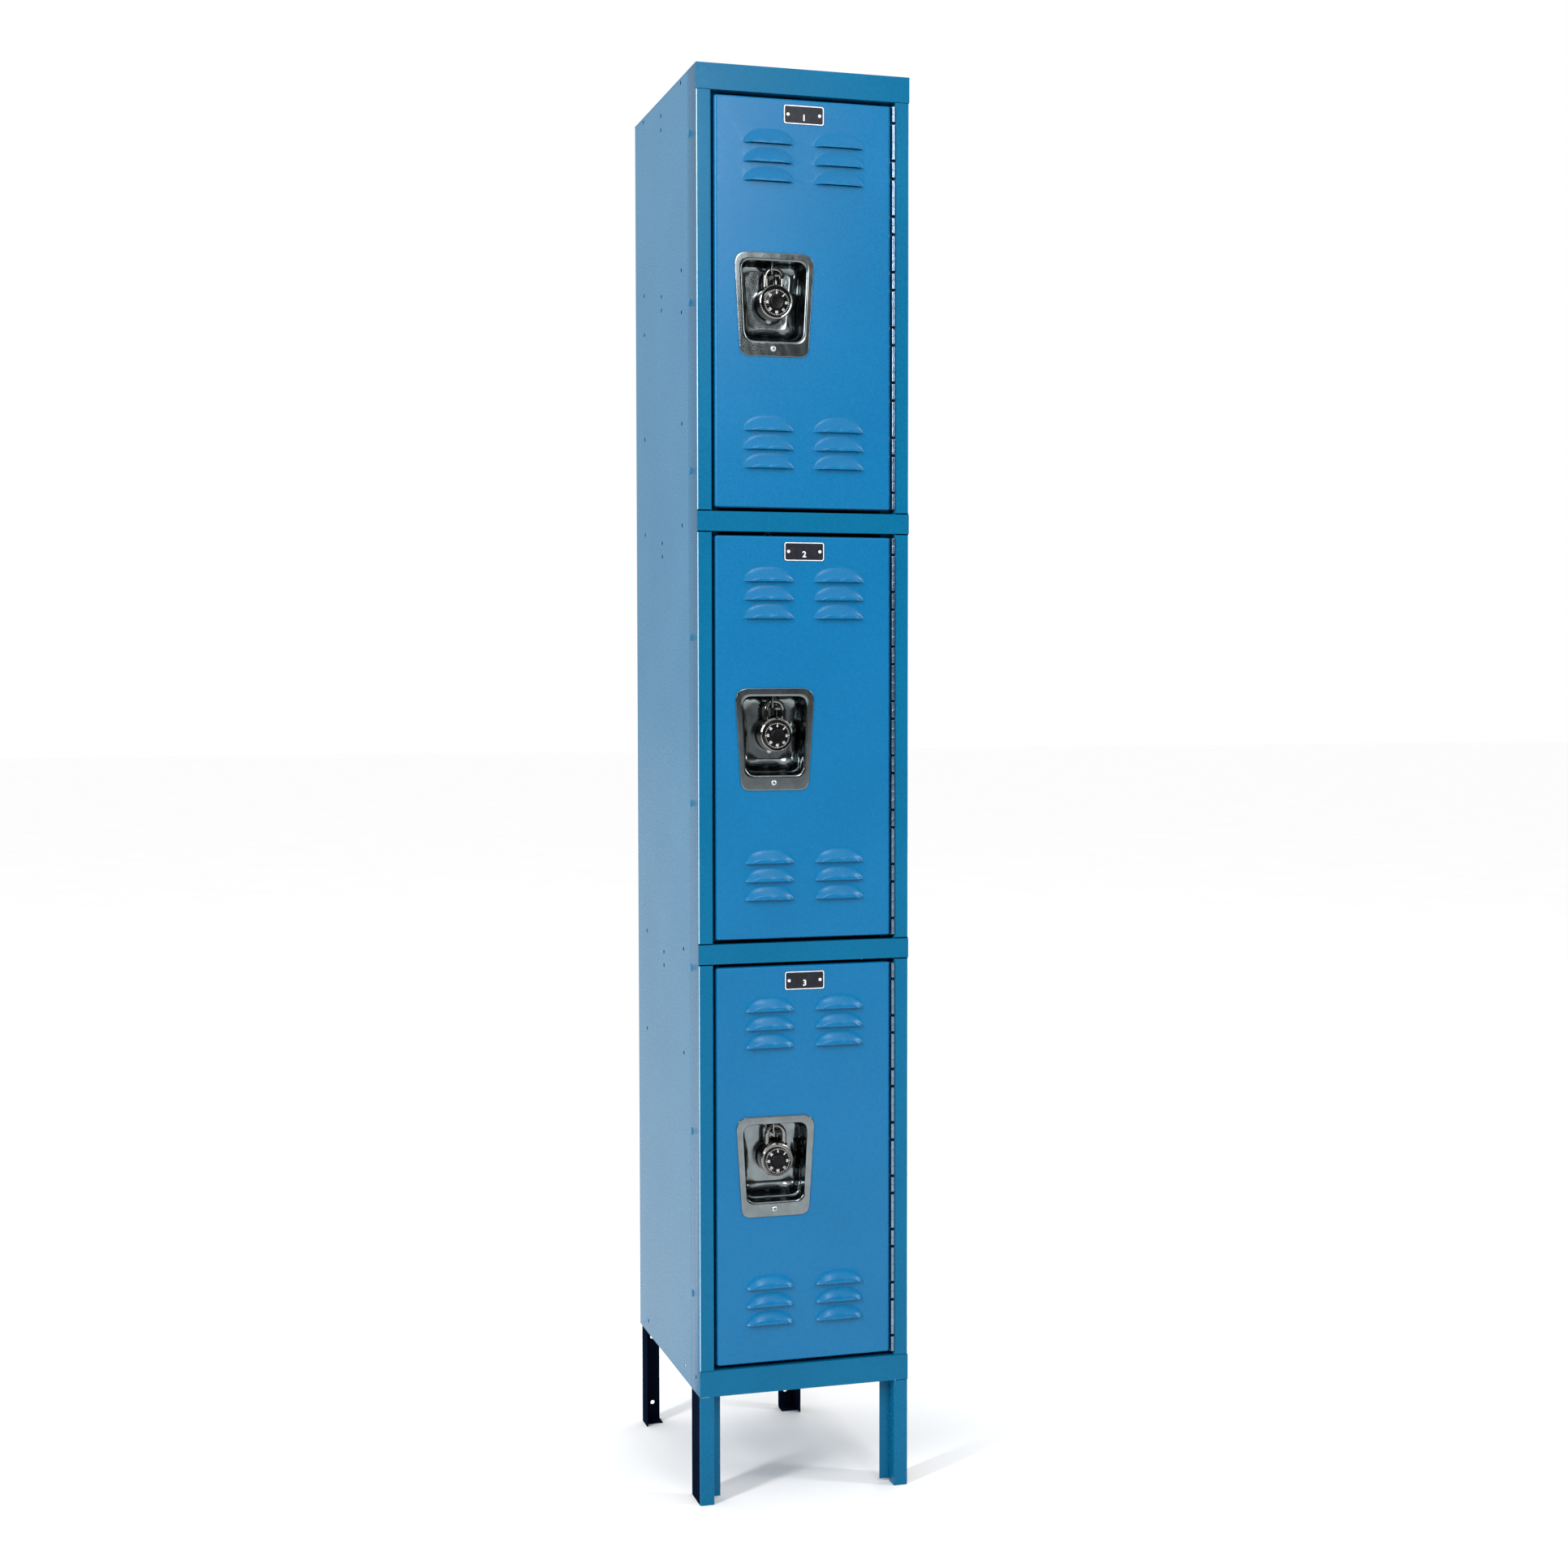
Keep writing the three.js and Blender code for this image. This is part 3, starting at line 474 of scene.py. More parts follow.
def door_pan():
    shape = Shape()
    face = rectangle(PAN_LEFT + BEND_X, PAN_RIGHT - BEND_X, -PAN_HALF + BEND_Z, PAN_HALF - BEND_Z)
    louver = [louver_edge(turn) for turn in half_turn(LOUVER_STEPS)]
    openings = [[(x + u, z + v) for u, v in louver] for x, z in LOUVER_PLACES]
    openings.append(cup_outline(MOUTH, CUP_HOLE_GROWTH))
    shape.flat(face, openings, at_depth(PAN_FACE), (0, -1, 0))
    for x, z in LOUVER_PLACES:
        add_louver(shape, x, z)
    rings = [pan_ring(turn, PAN_FACE + BEND_X * (1 - math.cos(turn))) for turn in quarter(9)]
    rings += [pan_ring(math.pi / 2, PAN_BACK - short) for short in (FOLD_BEND, FOLD_GAP)]
    shape.rings(rings, facing=(0, -1, 0))
    slot_left, slot_right = HOOK_X - HOOK_SLOT_HALF, HOOK_X + HOOK_SLOT_HALF
    hook_slot = rectangle(slot_left, slot_right, HOOK_SLOT_LOW, HOOK_SLOT_HIGH)
    bottom, top = -PAN_HALF + FOLD_CUT, PAN_HALF - FOLD_CUT
    latch_fold = rectangle(PAN_LEFT + FOLD_GAP, PAN_LEFT + LATCH_FOLD, bottom, top)
    hinge_fold = rectangle(PAN_RIGHT - HINGE_FOLD, PAN_RIGHT - FOLD_GAP, bottom, top)
    shape.flat(latch_fold, [hook_slot], at_depth(PAN_BACK), (0, 1, 0))
    shape.flat(hinge_fold, [], at_depth(PAN_BACK), (0, 1, 0))
    return shape


# ----------------------------------------------------------------------------------- handle cups

CUP_X = -43
RIM = dict(top_half=57.2, bottom_half=48.3, top=68.7, bottom=-72.1, top_cut=19, bottom_cut=13)
MOUTH = dict(top_half=46.9, bottom_half=41.3, top=57.7, bottom=-51.3, top_cut=15, bottom_cut=15)
FLOOR = dict(top_half=42, bottom_half=35, top=57.7, bottom=-38, top_cut=12, bottom_cut=12)
CUP_FRONT = -1.0
CUP_FLOOR = 36
CUP_GAUGE = 0.8
CUP_CORNER_STEPS = 9
LIFT_RIGHT = span("door_1_finger_lift")[1].x
LATCH_TRAVEL = 9


def cup_outline(size, grow=0.0):
    """A trapezoid with rounded corners, as flat points, grown outwards by some millimetres."""
    corners = [
        (-size["bottom_half"] - grow, size["bottom"] - grow, size["bottom_cut"]),
        (size["bottom_half"] + grow, size["bottom"] - grow, size["bottom_cut"]),
        (size["top_half"] + grow, size["top"] + grow, size["top_cut"]),
        (-size["top_half"] - grow, size["top"] + grow, size["top_cut"]),
    ]
    places = [Vector((CUP_X + x, z)) for x, z, _ in corners]
    outline = []
    for i, (_, _, cut) in enumerate(corners):
        here = places[i]
        before = here + (places[i - 1] - here).normalized() * cut
        after = here + (places[(i + 1) % 4] - here).normalized() * cut
        for step in range(CUP_CORNER_STEPS):
            t = step / (CUP_CORNER_STEPS - 1)
            outline.append(tuple((1 - t) ** 2 * before + 2 * t * (1 - t) * here + t * t * after))
    return outline


def between(first, second, fraction):
    return {key: mixed(first[key], second[key], fraction) for key in first}


# The rim, from its back edge over the lip and into the mouth: outline, growth and depth.
CUP_LIP = (
    (RIM, -0.05, 0.2), (RIM, 0.0, -0.45), (RIM, -0.25, -0.8), (RIM, -0.7, CUP_FRONT),
    (RIM, -1.4, CUP_FRONT), (MOUTH, 3.4, CUP_FRONT), (MOUTH, 2.4, CUP_FRONT + 0.03),
    (MOUTH, 1.4, CUP_FRONT + 0.25), (MOUTH, 0.5, CUP_FRONT + 0.75),
)
# How far each depth of the drawn wall has come from the mouth to the floor: a step runs round halfway.
CUP_WALL = (
    (0.4, 0.0), (2, 0.02), (6, 0.06), (10, 0.11), (12.5, 0.2), (14, 0.34), (15.5, 0.44), (18, 0.49),
    (22, 0.56), (26, 0.64),
)
# The wide bend into the floor: depth, the same fraction, and how far the outline has closed in.
CUP_BEND = (
    (29, 0.72, -0.6), (31.5, 0.80, -1.6), (33.5, 0.88, -3.2), (34.9, 0.94, -5.2), (35.8, 1.0, -7.4),
)
# How far the flat part of the floor is closed in.
FLAT_FLOOR = -9.5


def handle_cup():
    """The drawn cup with its rolled rim, and the slot in its floor that the finger lift moves in."""
    shape = Shape()
    outlines = [(cup_outline(size, grow), y) for size, grow, y in CUP_LIP]
    walls = [(y, fraction, 0) for y, fraction in CUP_WALL] + list(CUP_BEND)
    outlines += [(cup_outline(between(MOUTH, FLOOR, at), grow), y) for y, at, grow in walls]
    outlines += [(cup_outline(FLOOR, FLAT_FLOOR), CUP_FLOOR)]
    shape.rings([[(x, y, z) for x, z in outline] for outline, y in outlines], facing=(0, -1, 0))
    bottom, top = SHACKLE_TOP - 20.8 - LATCH_TRAVEL, SHACKLE_TOP - 5.4
    slot = rounded(LIFT_RIGHT - 7.8, LIFT_RIGHT + 0.8, bottom, top, 2)
    shape.flat(cup_outline(FLOOR, FLAT_FLOOR), [slot], at_depth(CUP_FLOOR), (0, -1, 0))
    return shape


def staple():
    """The plate welded in the roof of the cup, with the eye that the shackle passes through."""
    shape = Shape()
    eye = circle(LOCK_Y, SHACKLE_TOP, EYE_RADIUS, 28)
    nose = [
        (STAPLE_FRONT + NOSE_RADIUS * (1 - math.cos(a)), STAPLE_LOW + NOSE_RADIUS * (1 - math.sin(a)))
        for a in (0, 0.5, 1.0, 1.57)
    ]
    outline = [(STAPLE_FRONT, STAPLE_ROOT), *nose, (CUP_FLOOR, STAPLE_LOW), (CUP_FLOOR, STAPLE_ROOT)]
    sides = (STAPLE_X - STAPLE_HALF, STAPLE_X + STAPLE_HALF)
    for x, facing in zip(sides, (-1, 1)):
        shape.flat(outline, [eye], at_side(x), (facing, 0, 0))
    for loop in (outline, eye):
        shape.rings([[(x, y, z) for y, z in loop] for x in sides])
    return shape


SCREW_X = -44.9
SCREW_Z = -61.5
SCREW_TURN = 0.3
RIVET_X = -41
RIVET_Z = -18
RIVET_RADIUS = 4.6
RIVET_BASE = 35.8


def cup_screw():
    """A pan-head screw with its shank."""
    shape = Shape()
    front = CUP_FRONT - 0.3
    dome = [(4 * math.cos(a), front - 2.3 * math.sin(a)) for a in quarter(10)]
    shape.turned([(0, 8), (1.9, 8), (1.9, front), (4, front), *dome], SCREW_X, SCREW_Z, 32)
    return shape


def cross_recess():
    """The screw's cross recess, as a black piece let into its head: painted shade in place of a hollow.
    """
    shape = Shape()
    front = CUP_FRONT - 2.66
    arm = [(0.45, 0.45), (0.45, 1.9), (-0.45, 1.9), (-0.45, 0.45)]
    outline = []
    for i in range(4):
        a = SCREW_TURN + i * math.pi / 2
        sine, cosine = math.sin(a), math.cos(a)
        outline += [(SCREW_X + x * cosine - z * sine, SCREW_Z + x * sine + z * cosine) for x, z in arm]
    shape.slab(outline, front, front + 1.2)
    return shape


def cup_rivet():
    shape = Shape()
    dome = [(RIVET_RADIUS * math.cos(a), RIVET_BASE - 1.9 * math.sin(a)) for a in quarter(9)]
    back = RIVET_BASE + 0.6
    shape.turned([(0, back), (RIVET_RADIUS, back), *dome], RIVET_X, RIVET_Z, 28)
    return shape


# -------------------------------------------------------------------------------------- padlocks

LOCK_X = -37
LOCK_Y = 22
SHACKLE_ROD = 3.5
SHACKLE_BEND = 12.5
SHACKLE_TOP = 50.75
CASE_RADIUS = 23.8
CASE_Z = 4.65
CASE_FRONT = 11
CASE_BACK = 33
DIAL_RADIUS = 18.6
DIAL_Z = 3.4
STAPLE_X = LOCK_X - 5
STAPLE_HALF = 1
STAPLE_FRONT = 13
STAPLE_ROOT = 57.6
STAPLE_LOW = 40.8
NOSE_RADIUS = 4
EYE_RADIUS = 6.2


def shackle():
    """A bent rod: the short toe leg on the left, the bow, and the long heel leg on the right."""
    shape = Shape()
    centre = SHACKLE_TOP - SHACKLE_BEND
    path = [(LOCK_X - SHACKLE_BEND, LOCK_Y, z) for z in (CASE_Z + 12, CASE_Z + 18, centre - 4)]
    for a in (math.pi * (1 - i / 30) for i in range(31)):
        x, z = LOCK_X + SHACKLE_BEND * math.cos(a), centre + SHACKLE_BEND * math.sin(a)
        path.append((x, LOCK_Y, z))
    path += [(LOCK_X + SHACKLE_BEND, LOCK_Y, z) for z in (centre - 4, CASE_Z + 18, CASE_Z + 6)]
    shape.tube(path, SHACKLE_ROD, 28)
    return shape


def lock_case():
    """A stamped case: rounded back edge, and a bevelled ring round the dial."""
    shape = Shape()
    inner = DIAL_RADIUS + (CASE_Z - DIAL_Z) + 0.3
    back = [(21 + 2.8 * math.sin(a), 30.2 + 2.8 * math.cos(a)) for a in quarter(6)]
    front = [(22.6 + 1.2 * math.cos(a), 13.4 - 1.6 * math.sin(a)) for a in quarter(6)]
    ring = [(inner + 1.6, CASE_FRONT + 0.1), (inner + 0.6, CASE_FRONT + 0.2), (inner, CASE_FRONT + 0.9)]
    floor = [(inner - 0.1, CASE_FRONT + 1.5), (0, CASE_FRONT + 1.5)]
    shape.turned([(0, CASE_BACK), *back, (CASE_RADIUS, 22), *front, *ring, *floor], LOCK_X, CASE_Z, 96)
    return shape


def bore_collars():
    """Painted shade: black rings where the shackle goes into its two bores, for the dark mouths of the
    bores.
    """
    shape = Shape()
    outer, inner = 4.5, 3.75
    bottom, top = CASE_Z + 17.6, CASE_Z + 20.9
    section = ((outer, bottom), (outer, top - 0.4), (outer - 0.3, top), (inner, top), (inner, bottom))
    for side in (-1, 1):
        x = LOCK_X + side * SHACKLE_BEND
        rings = [[(x + r * math.cos(a), LOCK_Y + r * math.sin(a), z) for a in full_turn(28)]
                 for r, z in section]
        shape.rings([*rings, rings[0]])
    return shape


def index_mark():
    """The small pointer above the dial, pressed in the ring, as a black piece: painted shade in the
    notch.
    """
    shape = Shape()
    top = CASE_Z + 23.0
    outline = [(LOCK_X - 2.1, top), (LOCK_X, top - 3.1), (LOCK_X + 2.1, top)]
    shape.slab(outline, CASE_FRONT - 0.25, CASE_FRONT + 1.2)
    return shape


DIAL_SLOPE = ((DIAL_RADIUS - 0.5, 8.75), (10.8, 8.3))
KNOB_FLUTES = 20
DIAL_TICKS = 40
TICK_END = 17.6
NUMBER_RING = 13.1


def dial():
    """A dished black disc with a fluted knob."""
    shape = Shape()
    turns = full_turn(KNOB_FLUTES * 6)
    disc = [(0, 14.6), (2.4, 14.6), (2.4, 12.1), (DIAL_RADIUS, 12.1), (DIAL_RADIUS, 9.2)]
    knob = [(10.2, 8.2), (9.9, 7.6), (9.6, 6.0), (9.2, 5.4), (8.6, 5.0), (7.4, 5.15), (0, 5.3)]
    rings = []
    for radius, y in (*disc, *DIAL_SLOPE, *knob):
        fluted = 8.5 < radius < 10.0
        ring = []
        for a in turns:
            r = radius - (0.35 * (1 - math.cos(a * KNOB_FLUTES)) / 2 if fluted else 0)
            ring.append((LOCK_X + r * math.cos(a), y, DIAL_Z + r * math.sin(a)))
        rings.append(ring)
    shape.rings(rings)
    return shape


def dial_height(radius):
    (outer, y0), (inner, y1) = DIAL_SLOPE
    return mixed(y0, y1, (outer - radius) / (outer - inner))


def dial_marks():
    """Forty ticks near the rim, longer at every fifth, and a plain number at each of those."""
    shape = Shape()
    for tick, a in enumerate(full_turn(DIAL_TICKS)):
        inner, half = (15.4, 0.40) if tick % 5 == 0 else (16.2, 0.24)
        out = Vector((math.sin(a), 0, math.cos(a)))
        side = Vector((math.cos(a), 0, -math.sin(a)))
        centre = Vector((LOCK_X, 0, DIAL_Z))
        top, sunk = [], []
        for radius, sign in ((inner, -1), (inner, 1), (TICK_END, 1), (TICK_END, -1)):
            point = centre + out * radius + side * (half * sign)
            top.append((point.x, dial_height(radius) - 0.12, point.z))
            sunk.append((point.x, dial_height(radius) + 0.1, point.z))
        shape.rings([top, sunk])
        shape.add(top, [(0, 1, 2, 3)])
        shape.add(sunk, [(3, 2, 1, 0)])
    for five in range(8):
        a = math.radians(45 * five)
        across, up = NUMBER_RING * math.sin(a), NUMBER_RING * math.cos(a)
        centre = Vector((LOCK_X + across, dial_height(NUMBER_RING) - 0.1, DIAL_Z + up))
        add_number(shape, str(five * 5), 4.3, centre, 0.12, a)
    return shape


def add_number(shape, digits, size, centre, weight, turn=0.0):
    """Raised digits, facing the front, turned about the line through their centre."""
    words = bpy.data.curves.new("digits", "FONT")
    words.body = digits
    words.size = size
    words.extrude = 0.12
    words.offset = weight
    words.resolution_u = 3
    words.align_x = "CENTER"
    words.align_y = "CENTER"
    writer = bpy.data.objects.new("digits", words)
    bpy.context.scene.collection.objects.link(writer)
    made = bpy.data.meshes.new_from_object(writer)
    standing = Matrix.Rotation(turn, 4, "Y") @ Matrix.Rotation(math.pi / 2, 4, "X")
    to_place = Matrix.Translation(centre) @ standing
    shape.add([to_place @ v.co for v in made.vertices], [tuple(f.vertices) for f in made.polygons])
    bpy.data.objects.remove(writer)
    bpy.data.curves.remove(words)
    bpy.data.meshes.remove(made)


# ----------------------------------------------------------------------------------- number plate

PLATE_WIDTH = 57.15
PLATE_HEIGHT = 25.4
PLATE_DROP = 8.5
PLATE_Z = PAN_HALF - PLATE_DROP - PLATE_HEIGHT / 2
PLATE_FRONT = -0.7
PLATE_CORNER = 3.0
PLATE_RIVET_X = 22.5


def plate_box(inset):
    return (PAN_MIDDLE - PLATE_WIDTH / 2 + inset, PAN_MIDDLE + PLATE_WIDTH / 2 - inset,
            PLATE_Z - PLATE_HEIGHT / 2 + inset, PLATE_Z + PLATE_HEIGHT / 2 - inset)


def plate_ground():
    shape = Shape()
    rings = [[(x, y, z) for x, z in rounded(*plate_box(inset), PLATE_CORNER)]
             for inset, y in ((0, 0.2), (0, -0.35), (0.25, -0.5))]
    shape.rings(rings)
    for y, facing, inset in ((-0.5, -1, 0.25), (0.2, 1, 0)):
        shape.flat(rounded(*plate_box(inset), PLATE_CORNER), [], at_depth(y), (0, facing, 0))
    return shape


def plate_trim(tier):
    """The raised border, the rivets and the tier's number."""
    shape = Shape()
    section = ((0.1, -0.4), (0.25, PLATE_FRONT + 0.05), (0.5, PLATE_FRONT), (1.2, PLATE_FRONT),
               (1.45, -0.45))
    rings = [[(x, y, z) for x, z in rounded(*plate_box(inset), PLATE_CORNER - inset * 0.6)]
             for inset, y in section]
    shape.rings([*rings, rings[0]])
    dome = [(2.3 * math.cos(a), -0.55 - 1.15 * math.sin(a)) for a in quarter(6)]
    for side in (-1, 1):
        x = PAN_MIDDLE + side * PLATE_RIVET_X
        shape.turned([(0, -0.3), (2.3, -0.3), *dome], x, PLATE_Z, 20)
    add_number(shape, str(tier), 11.5, Vector((PAN_MIDDLE, -0.62, PLATE_Z - 4.0)), 0.3)
    return shape


# ---------------------------------------------------------------------------------------- hinges

HINGE_RADIUS = 2.5
HINGE_X = 129.1
LEAF = 1.1
LEAF_BACK = 17.5
FRAME_KNUCKLE = 23
DOOR_KNUCKLE = 50
KNUCKLE_GAP = 1.6
DOOR_KNUCKLES = 7
HINGE_PITCH = DOOR_KNUCKLE + FRAME_KNUCKLE + 2 * KNUCKLE_GAP
HINGE_HALF = (DOOR_KNUCKLES * HINGE_PITCH + FRAME_KNUCKLE) / 2
RING_PITCH = 12.5
KNUCKLE_CROWN = 0.9          # the crowned end of a knuckle, beyond its bearing length


def knuckle_profile(z0, z1):
    """Radius and height along a rolled knuckle, with the faint rings that the rolling leaves."""
    profile = [(HINGE_RADIUS - 0.5, z0), (HINGE_RADIUS - 0.1, z0 + 0.25), (HINGE_RADIUS, z0 + 0.7)]
    groove = HINGE_RADIUS - 0.28
    count = round((z1 - z0) / RING_PITCH)
    for i in range(1, count):
        z = mixed(z0, z1, i / count)
        profile += [(HINGE_RADIUS, z - 0.7), (groove, z - 0.25)]
        profile += [(groove, z + 0.25), (HINGE_RADIUS, z + 0.7)]
    profile += [(HINGE_RADIUS, z1 - 0.7), (HINGE_RADIUS - 0.1, z1 - 0.25), (HINGE_RADIUS - 0.5, z1)]
    return profile


def hinge_leaf(side, knuckles):
    """Rolled knuckles on a strip that runs back between the door's flange and the upright."""
    shape = Shape()
    turns = full_turn(20)
    outer = HINGE_X + side * HINGE_RADIUS
    inner = outer - side * LEAF
    for low, high in knuckles:
        z0, z1 = low + KNUCKLE_CROWN, high - KNUCKLE_CROWN
        profile = [(1.7, z0), *knuckle_profile(z0, z1), (1.7, z1)]
        rings = [[(HINGE_X + r * math.cos(a), r * math.sin(a), z) for a in turns] for r, z in profile]
        shape.rings([*rings, rings[0]])
        add_block(shape, (outer, inner), (0, 4), (z0 + 0.05, z1 - 0.05))
    add_block(shape, (outer, inner), (3.2, LEAF_BACK), (-HINGE_HALF, HINGE_HALF))
    return shape


def add_block(shape, across, deep, tall):
    corners = [(x, y, z) for x in across for y in deep for z in tall]
    sides = [(0, 1, 3, 2), (4, 6, 7, 5), (0, 4, 5, 1), (2, 3, 7, 6), (0, 2, 6, 4), (1, 5, 7, 3)]
    shape.add(corners, sides)


frame_starts = [i * HINGE_PITCH - HINGE_HALF for i in range(DOOR_KNUCKLES + 1)]
frame_knuckles = [(start, start + FRAME_KNUCKLE) for start in frame_starts]
door_starts = [end + KNUCKLE_GAP for _, end in frame_knuckles[:-1]]
door_knuckles = [(start, start + DOOR_KNUCKLE) for start in door_starts]

# --------------------------------------------------------------------------- cabinet sheet pieces

SIDE_SEAM = 48.4
BODY_GAUGE = 0.8
BOLT_COUNT = 8
BOLT_PITCH = 229.4
BOLT_LOW = 288.7
BOLT_Y = 42
BOLT_RADIUS = 5.2
SEAM_LAP = 13
BACK_FOLD = 12.4
HOLE_ROWS = ((88, (1974.5, 1717, 1659, 1505, 1363.5, 768.5, 621, 172.5)),
             (322, (1974.5, 1719, 1661, 1506, 1364, 769, 621, 172)),
             (210, (1957.5, 1937.5, 1700, 1680.5, 1345.5, 1326, 750, 730.5)))


def side_panel(side):
    """A flat side with its punched holes, a joggle behind the upright, and a fold at the back."""
    shape = Shape()
    x = side * HALF_WIDTH
    low, high = CABINET_LOW.z, CABINET_HIGH.z
    back = CABINET_HIGH.y
    outline = rectangle(SIDE_SEAM + 1, back - 1, low, high)
    holes = [circle(y, z, 3.1) for y, row in HOLE_ROWS for z in row]
    shape.flat(outline, holes, at_side(x), (side, 0, 0))
    joggle = ((SIDE_SEAM + 1, 0), (SIDE_SEAM + 0.3, 0.15), (SIDE_SEAM, 0.8), (SIDE_SEAM - 0.1, 1.9),
              (SIDE_SEAM - 1, 2.1), (SIDE_SEAM - SEAM_LAP, 2.1))
    fold = ((back - 1, 0), (back - 0.3, 0.3), (back, 1), (back, BACK_FOLD))
    for line in (joggle, fold):
        shape.wall([(x - side * inward, y) for y, inward in line], low, high, (side, 0, 0))
    return shape


def seam_bolts(side):
    """The domed heads that fix the side panel to the upright."""
    shape = Shape()
    dome = [(BOLT_RADIUS * math.cos(a), 1.9 * math.sin(a)) for a in quarter(6)]
    profile = [(0, -0.5), (BOLT_RADIUS, -0.5), *dome]
    for i in range(BOLT_COUNT):
        z = BOLT_LOW + BOLT_PITCH * i
        shape.rings([
            [(side * (HALF_WIDTH + out), BOLT_Y + r * math.cos(a), z + r * math.sin(a))
             for a in full_turn(28)]
            for r, out in profile
        ])
    return shape


FACE_WIDTH = 20.5
STOP_DEPTH = 22.5
STOP_WIDTH = 14
UPRIGHT_FLANGE = 48
FRAME_GAUGE = 1.5
CORNER = 2.6
INNER_BEND = 1.6
STOP_FOOT = 3.5
MID_SEAM = 1.8
LEG_TOP = span("bottom_rail")[0].z
LEG_GAUGE = 1.9
FOOT_LENGTH = 22
FLANGE_HOLE = (22, 175.5)
LEG_HOLES = ((38, 121), (24, 60))
REAR_HOLE = 3.4
REAR_BACK_HOLES = (27, 130)
REAR_SIDE_HOLES = (26, 129)


def upright_sections(side):
    """The upright's section (x, y): its door stop and return, its front face with both bends."""
    face = HALF_WIDTH - FACE_WIDTH
    stop = [(face - STOP_WIDTH, STOP_DEPTH), (face - 1, STOP_DEPTH), (face, STOP_DEPTH - 1)]
    web = [(face, STOP_DEPTH - 1), (face, INNER_BEND)]
    front = [(face + INNER_BEND * (1 - math.cos(a)), INNER_BEND * (1 - math.sin(a)))
             for a in quarter(4)]
    front += [(HALF_WIDTH - CORNER + CORNER * math.sin(a), CORNER * (1 - math.cos(a)))
              for a in quarter(9)]
    flange = [(HALF_WIDTH, CORNER), (HALF_WIDTH, CORNER + 1.5)]
    return [[(side * x, y) for x, y in line] for line in (stop, web, front, flange)]


def upright_bands():
    """Heights (low, high, open) up an upright. The rails' faces lie over the open bands."""
    rails = ["bottom_rail", "lower_mid_rail", "upper_mid_rail"]
    seams = [0.8, MID_SEAM, MID_SEAM]
    top = span("left_upright")[1].z
    bands, reached = [], 0
    for rail, seam in zip(rails, seams):
        low, high = (corner.z for corner in span(rail))
        bands += [(reached, low - seam, False), (low - seam, high + seam, True)]
        reached = high + seam
    header = span("header")[0].z - 0.8
    return [*bands, (reached, header, False), (header, top, True)]


def upright(side):
    shape = Shape()
    stop, web, front, flange = upright_sections(side)
    bands = upright_bands()
    for low, high, is_open in bands:
        strips = [web, flange] if is_open else [web, front, flange]
        for line in strips:
            facing = (0, -1, 0) if line is front else (-side if line is web else side, 0, 0)
            shape.wall(line, low, high, facing)
    top = bands[-1][1]
    shape.wall(stop, STOP_FOOT, top, (0, -1, 0))
    outline = rectangle(CORNER + 1.5, UPRIGHT_FLANGE, LEG_TOP, top)
    shape.flat(outline, [circle(*FLANGE_HOLE, 3)], at_side(side * HALF_WIDTH), (side, 0, 0))
    return shape


def upright_edge(side):
    """A painted highlight: a pale, glossy strip along the middle of the outer bend, between the rails.
    """
    shape = Shape()
    front = upright_sections(side)[2][-7:-3]        # the middle of the outer bend
    for low, high, is_open in upright_bands():
        if not is_open and low > 0:
            line = [(x + side * 0.03, y - 0.03) for x, y in front]
            shape.wall(line, low + 0.2, high - 0.2, (side, -1, 0))
    return shape


def leg_side(side):
    """The side flange of a front leg, below the cabinet, with its two bolt holes, near-black as painted
    shade.
    """
    shape = Shape()
    outline = rectangle(CORNER + 0.4, UPRIGHT_FLANGE, 0, LEG_TOP)
    holes = [circle(y, z, 3.2) for y, z in LEG_HOLES]
    shape.flat(outline, holes, at_side(side * (HALF_WIDTH + 0.02)), (side, 0, 0))
    return shape


def rear_leg(name, side):
    """An angle with a bent foot: a back plate, a side plate and a tab on the floor."""
    shape = Shape()
    low, high = span(name)
    outer, inner = (high.x, low.x) if side > 0 else (low.x, high.x)
    front, back, top = low.y, high.y, high.z
    side_top = top if side < 0 else LEG_TOP + 20
    bend = 3
    turn = [(outer - side * bend * (1 - math.sin(a)), back - bend * (1 - math.cos(a)))
            for a in quarter(6)]
    shape.wall(turn, 0, side_top, (side, 1, 0))
    x0, x1 = sorted((inner, outer - side * bend))
    back_holes = [circle(outer - side * 16, z, REAR_HOLE) for z in REAR_BACK_HOLES]
    shape.flat(rectangle(x0, x1, 4, top), back_holes, at_depth(back), (0, 1, 0))
    side_holes = [circle(366, z, REAR_HOLE) for z in REAR_SIDE_HOLES]
    shape.flat(rectangle(front, back - bend, 0, side_top), side_holes, at_side(outer), (side, 0, 0))
    heel = [(back - 4 * (1 - math.cos(a)), 4 - 4 * math.sin(a)) for a in quarter(6)]
    sole = [*heel, (back - FOOT_LENGTH, 0)]
    shape.rings([[(x, y, z) for y, z in sole] for x in (x0, x1)], False, (0, 0, -1))
    return shape


COAT_HOOK_Y = 190.5
PRONG_REACH = 38
PRONG_DROP = 30
HOOK_ROD = 3.2


